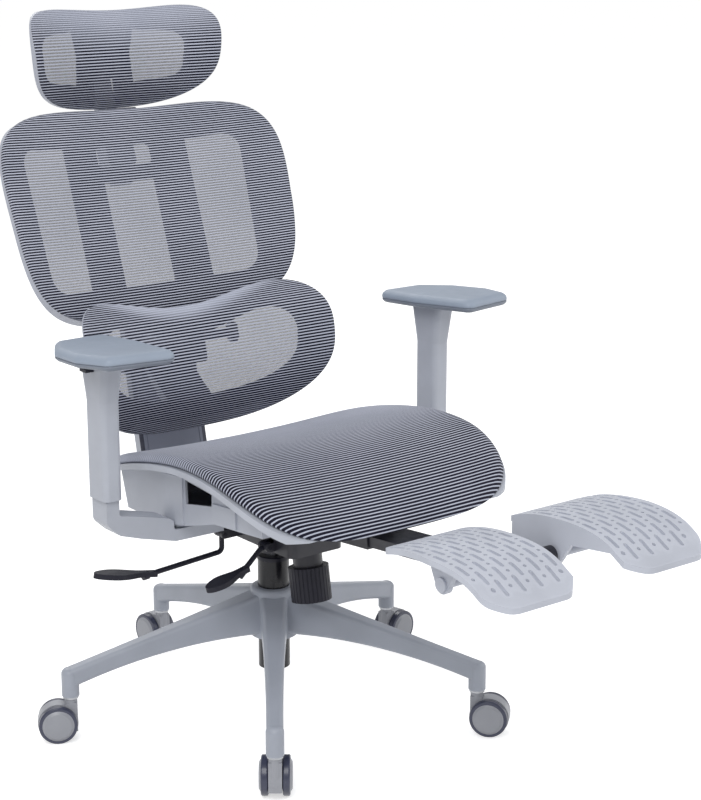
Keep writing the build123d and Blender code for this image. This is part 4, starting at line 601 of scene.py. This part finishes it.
# ------------------------------------------------------------ arm pads
ARM = dict(x=.3115, y=-.016, top=.625, pitch=4.0, low=.00593, thick=.021)
PAD_OUTLINE = ((.262, .060), (.344, .058), (.377, .0), (.386, -.072), (.370, -.134), (.270, -.156),
               (.258, -.035))
PAD_CORNER = 0.013
# how far in from the outline, and how high over the underside, the pad's skin runs; the groove parts its base
PAD_PROFILE = ((.0075, .0), (.0045, .0010), (.0016, .0036), (.0004, .0052),
               (.0, .0066), (.0012, .0071), (.0012, .0077), (.0, .0082), (-.0002, .0110), (.0004, .0142),
               (.0018, .0162), (.0052, .0189), (.0072, .0200), (.0100, .0206))
PAD_BASE_ROWS = 9               # rows of faces, from the groove outwards, that are of the darker base
# the groove in the underside, in which the rib of the plate slides: middle, half size and depth
GROOVE = dict(x=.3235, y=-.012, half_x=.0097, half_y=.0715, deep=.0062)


def rounded_outline(points, radius, steps=7):
    """Points and outward normals of a polygon with round corners."""
    area = sum(a[0] * b[1] - b[0] * a[1] for a, b in zip(points, points[1:] + points[:1]))
    if area < 0:
        points = points[::-1]
    out = []
    count = len(points)
    for k in range(count):
        p, before, after = Vector(points[k]), Vector(points[k - 1]), Vector(points[(k + 1) % count])
        u, w = (before - p).normalized(), (after - p).normalized()
        half = math.acos(max(-1, min(1, u.dot(w)))) / 2
        centre = p + (u + w).normalized() * (radius / math.sin(half))
        n0, n1 = Vector((-u.y, u.x)) * -1, Vector((-w.y, w.x))
        if n0.dot(p - centre) < 0:
            n0 = -n0
        if n1.dot(p - centre) < 0:
            n1 = -n1
        a0, a1 = math.atan2(n0.y, n0.x), math.atan2(n1.y, n1.x)
        turn = (a1 - a0 + math.pi) % (2 * math.pi) - math.pi
        for i in range(steps):
            a = a0 + turn * i / (steps - 1)
            n = Vector((math.cos(a), math.sin(a)))
            out.append((centre + n * radius, n))
        # the straight run to the next corner, in four pieces
        q, later = Vector(points[(k + 1) % count]), Vector(points[(k + 2) % count])
        u2, w2 = (p - q).normalized(), (later - q).normalized()
        half2 = math.acos(max(-1, min(1, u2.dot(w2)))) / 2
        start, end = out[-1][0], q + u2 * (radius / math.tan(half2))
        for i in range(1, 5):
            out.append((start.lerp(end, i / 5), out[-1][1]))
    return out


def arm_pad(side, name):
    """Soft pad with a flat groove below, a narrow parting line round its side and a low crown."""
    tilt = math.radians(ARM["pitch"])
    line = rounded_outline([(side * x, y - ARM["y"]) for x, y in PAD_OUTLINE], PAD_CORNER)
    count = len(line)
    middle = sum((p for p, n in line), Vector((0, 0))) / count
    verts, faces = [], []

    def place(p, w):
        w = w + ARM["low"]
        return (p.x, ARM["y"] + p.y * math.cos(tilt) + w * math.sin(tilt),
                ARM["top"] - p.y * math.sin(tilt) + w * math.cos(tilt))

    mid = Vector((side * GROOVE["x"], GROOVE["y"]))

    def groove_edge(p):
        d = p - mid
        return mid + d / max(abs(d.x) / GROOVE["half_x"], abs(d.y) / GROOVE["half_y"])

    groove = [groove_edge(p) for p, n in line]
    for sx in (-1, 1):
        for sy in (-1, 1):
            corner = mid + Vector((sx * GROOVE["half_x"], sy * GROOVE["half_y"]))
            groove[min(range(count), key=lambda k: (groove[k] - corner).length)] = corner
    rows = [[place(p, high) for p in groove] for high in (GROOVE["deep"], 0.0)]
    rows += [[place(p - n * inset, high) for p, n in line] for inset, high in PAD_PROFILE]
    inset, high = PAD_PROFILE[-1]
    for share in (0.84, 0.66, 0.46, 0.24):
        rows.append([place(middle + (p - n * inset - middle) * share, high + 0.0009 * (1 - share ** 2))
                     for p, n in line])
    for row in rows:
        verts.extend(row)
    for r in range(len(rows) - 1):
        for k in range(count):
            k2 = (k + 1) % count
            faces.append((r * count + k, r * count + k2, (r + 1) * count + k2, (r + 1) * count + k))
    verts.append(place(mid, GROOVE["deep"]))
    verts.append(place(middle, PAD_PROFILE[-1][1] + 0.0009))
    low_mid, top_mid, last = len(verts) - 2, len(verts) - 1, (len(rows) - 1) * count
    for k in range(count):
        k2 = (k + 1) % count
        faces.append((low_mid, k2, k))
        faces.append((last + k, last + k2, top_mid))
    ob = mesh_object("arm_pad_" + name + "_skin", verts, faces)
    ob.data.materials.append(M["pad"])
    ob.data.materials.append(M["pad_base"])
    for k, p in enumerate(ob.data.polygons):
        fans = (len(rows) - 1) * count
        base = k < PAD_BASE_ROWS * count or (k >= fans and k % 2 == fans % 2)
        p.material_index = 1 if base else 0
    bm = bmesh.new()
    bm.from_mesh(ob.data)
    bmesh.ops.recalc_face_normals(bm, faces=bm.faces)
    bm.to_mesh(ob.data)
    bm.free()
    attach(ob, "arm_pad_" + name)
    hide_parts("arm_pad_" + name)
    return ob


arm_pad(-1, "right")
arm_pad(1, "left")

# ------------------------------------------------------------ floor, light and camera
bm = bmesh.new()
bmesh.ops.create_grid(bm, x_segments=1, y_segments=1, size=30.0)
me = bpy.data.meshes.new("floor")
bm.to_mesh(me)
bm.free()
floor = bpy.data.objects.new("floor", me)
scene.collection.objects.link(floor)
fm, ft, fo = new_material("floor_pale")
g = Graph(ft)
lp = g.node("ShaderNodeLightPath")
through = g.math("MAXIMUM", lp.outputs["Is Glossy Ray"], lp.outputs["Is Transmission Ray"])
see = g.math("MAXIMUM", lp.outputs["Is Camera Ray"], through)
dif = g.node("ShaderNodeBsdfDiffuse")
dif.inputs["Color"].default_value = (0.80, 0.80, 0.80, 1)
em = g.node("ShaderNodeEmission")
em.inputs["Color"].default_value = (1, 1, 1, 1)
g.link(g.math("MULTIPLY", see, 0.56), em.inputs["Strength"])
ad = g.node("ShaderNodeAddShader")
g.link(dif.outputs[0], ad.inputs[0])
g.link(em.outputs[0], ad.inputs[1])
g.link(ad.outputs[0], fo.inputs["Surface"])
me.materials.append(fm)

world = bpy.data.worlds.new("studio")
scene.world = world
world.use_nodes = True
wt = world.node_tree
for n in list(wt.nodes):
    wt.nodes.remove(n)
g = Graph(wt)
lp = g.node("ShaderNodeLightPath")
see = g.math("MAXIMUM", lp.outputs["Is Camera Ray"], lp.outputs["Is Transmission Ray"])
bg = g.node("ShaderNodeBackground")
bg.inputs["Color"].default_value = (1.0, 1.0, 1.0, 1)
g.link(g.math("MULTIPLY_ADD", see, 0.45, 0.55), bg.inputs["Strength"])
wo = g.node("ShaderNodeOutputWorld")
g.link(bg.outputs[0], wo.inputs["Surface"])


def area(name, place, target, size, power):
    """Soft rectangular lamp that looks at target."""
    l = bpy.data.lights.new(name, "AREA")
    l.shape = "RECTANGLE"
    l.size, l.size_y = size
    l.energy = power
    o = bpy.data.objects.new(name, l)
    scene.collection.objects.link(o)
    o.location = place
    o.rotation_euler = (Vector(target) - Vector(place)).to_track_quat("-Z", "Y").to_euler()


area("key", (-2.6, -2.2, 3.4), (0, 0, .5), (2.4, 2.4), 95)
area("fill", (3.2, -1.8, 2.2), (0, 0, .5), (2.4, 2.4), 38)
area("back", (0.8, 3.2, 2.8), (0, 0, .7), (2.6, 1.6), 45)

cam = bpy.data.cameras.new("camera")
cam.lens = 88.02
cam.sensor_width = 36.0
co = bpy.data.objects.new("camera", cam)
scene.collection.objects.link(co)
place = Vector((-1.710, -2.387, 1.277))
pitch, head = 0.2544, math.radians(52.0)
look = Vector((math.cos(head) * math.cos(pitch), math.sin(head) * math.cos(pitch), -math.sin(pitch)))
co.location = place
co.rotation_euler = look.to_track_quat("-Z", "Y").to_euler()
cam.clip_end = 200.0
scene.camera = co
scene.view_settings.view_transform = "Standard"
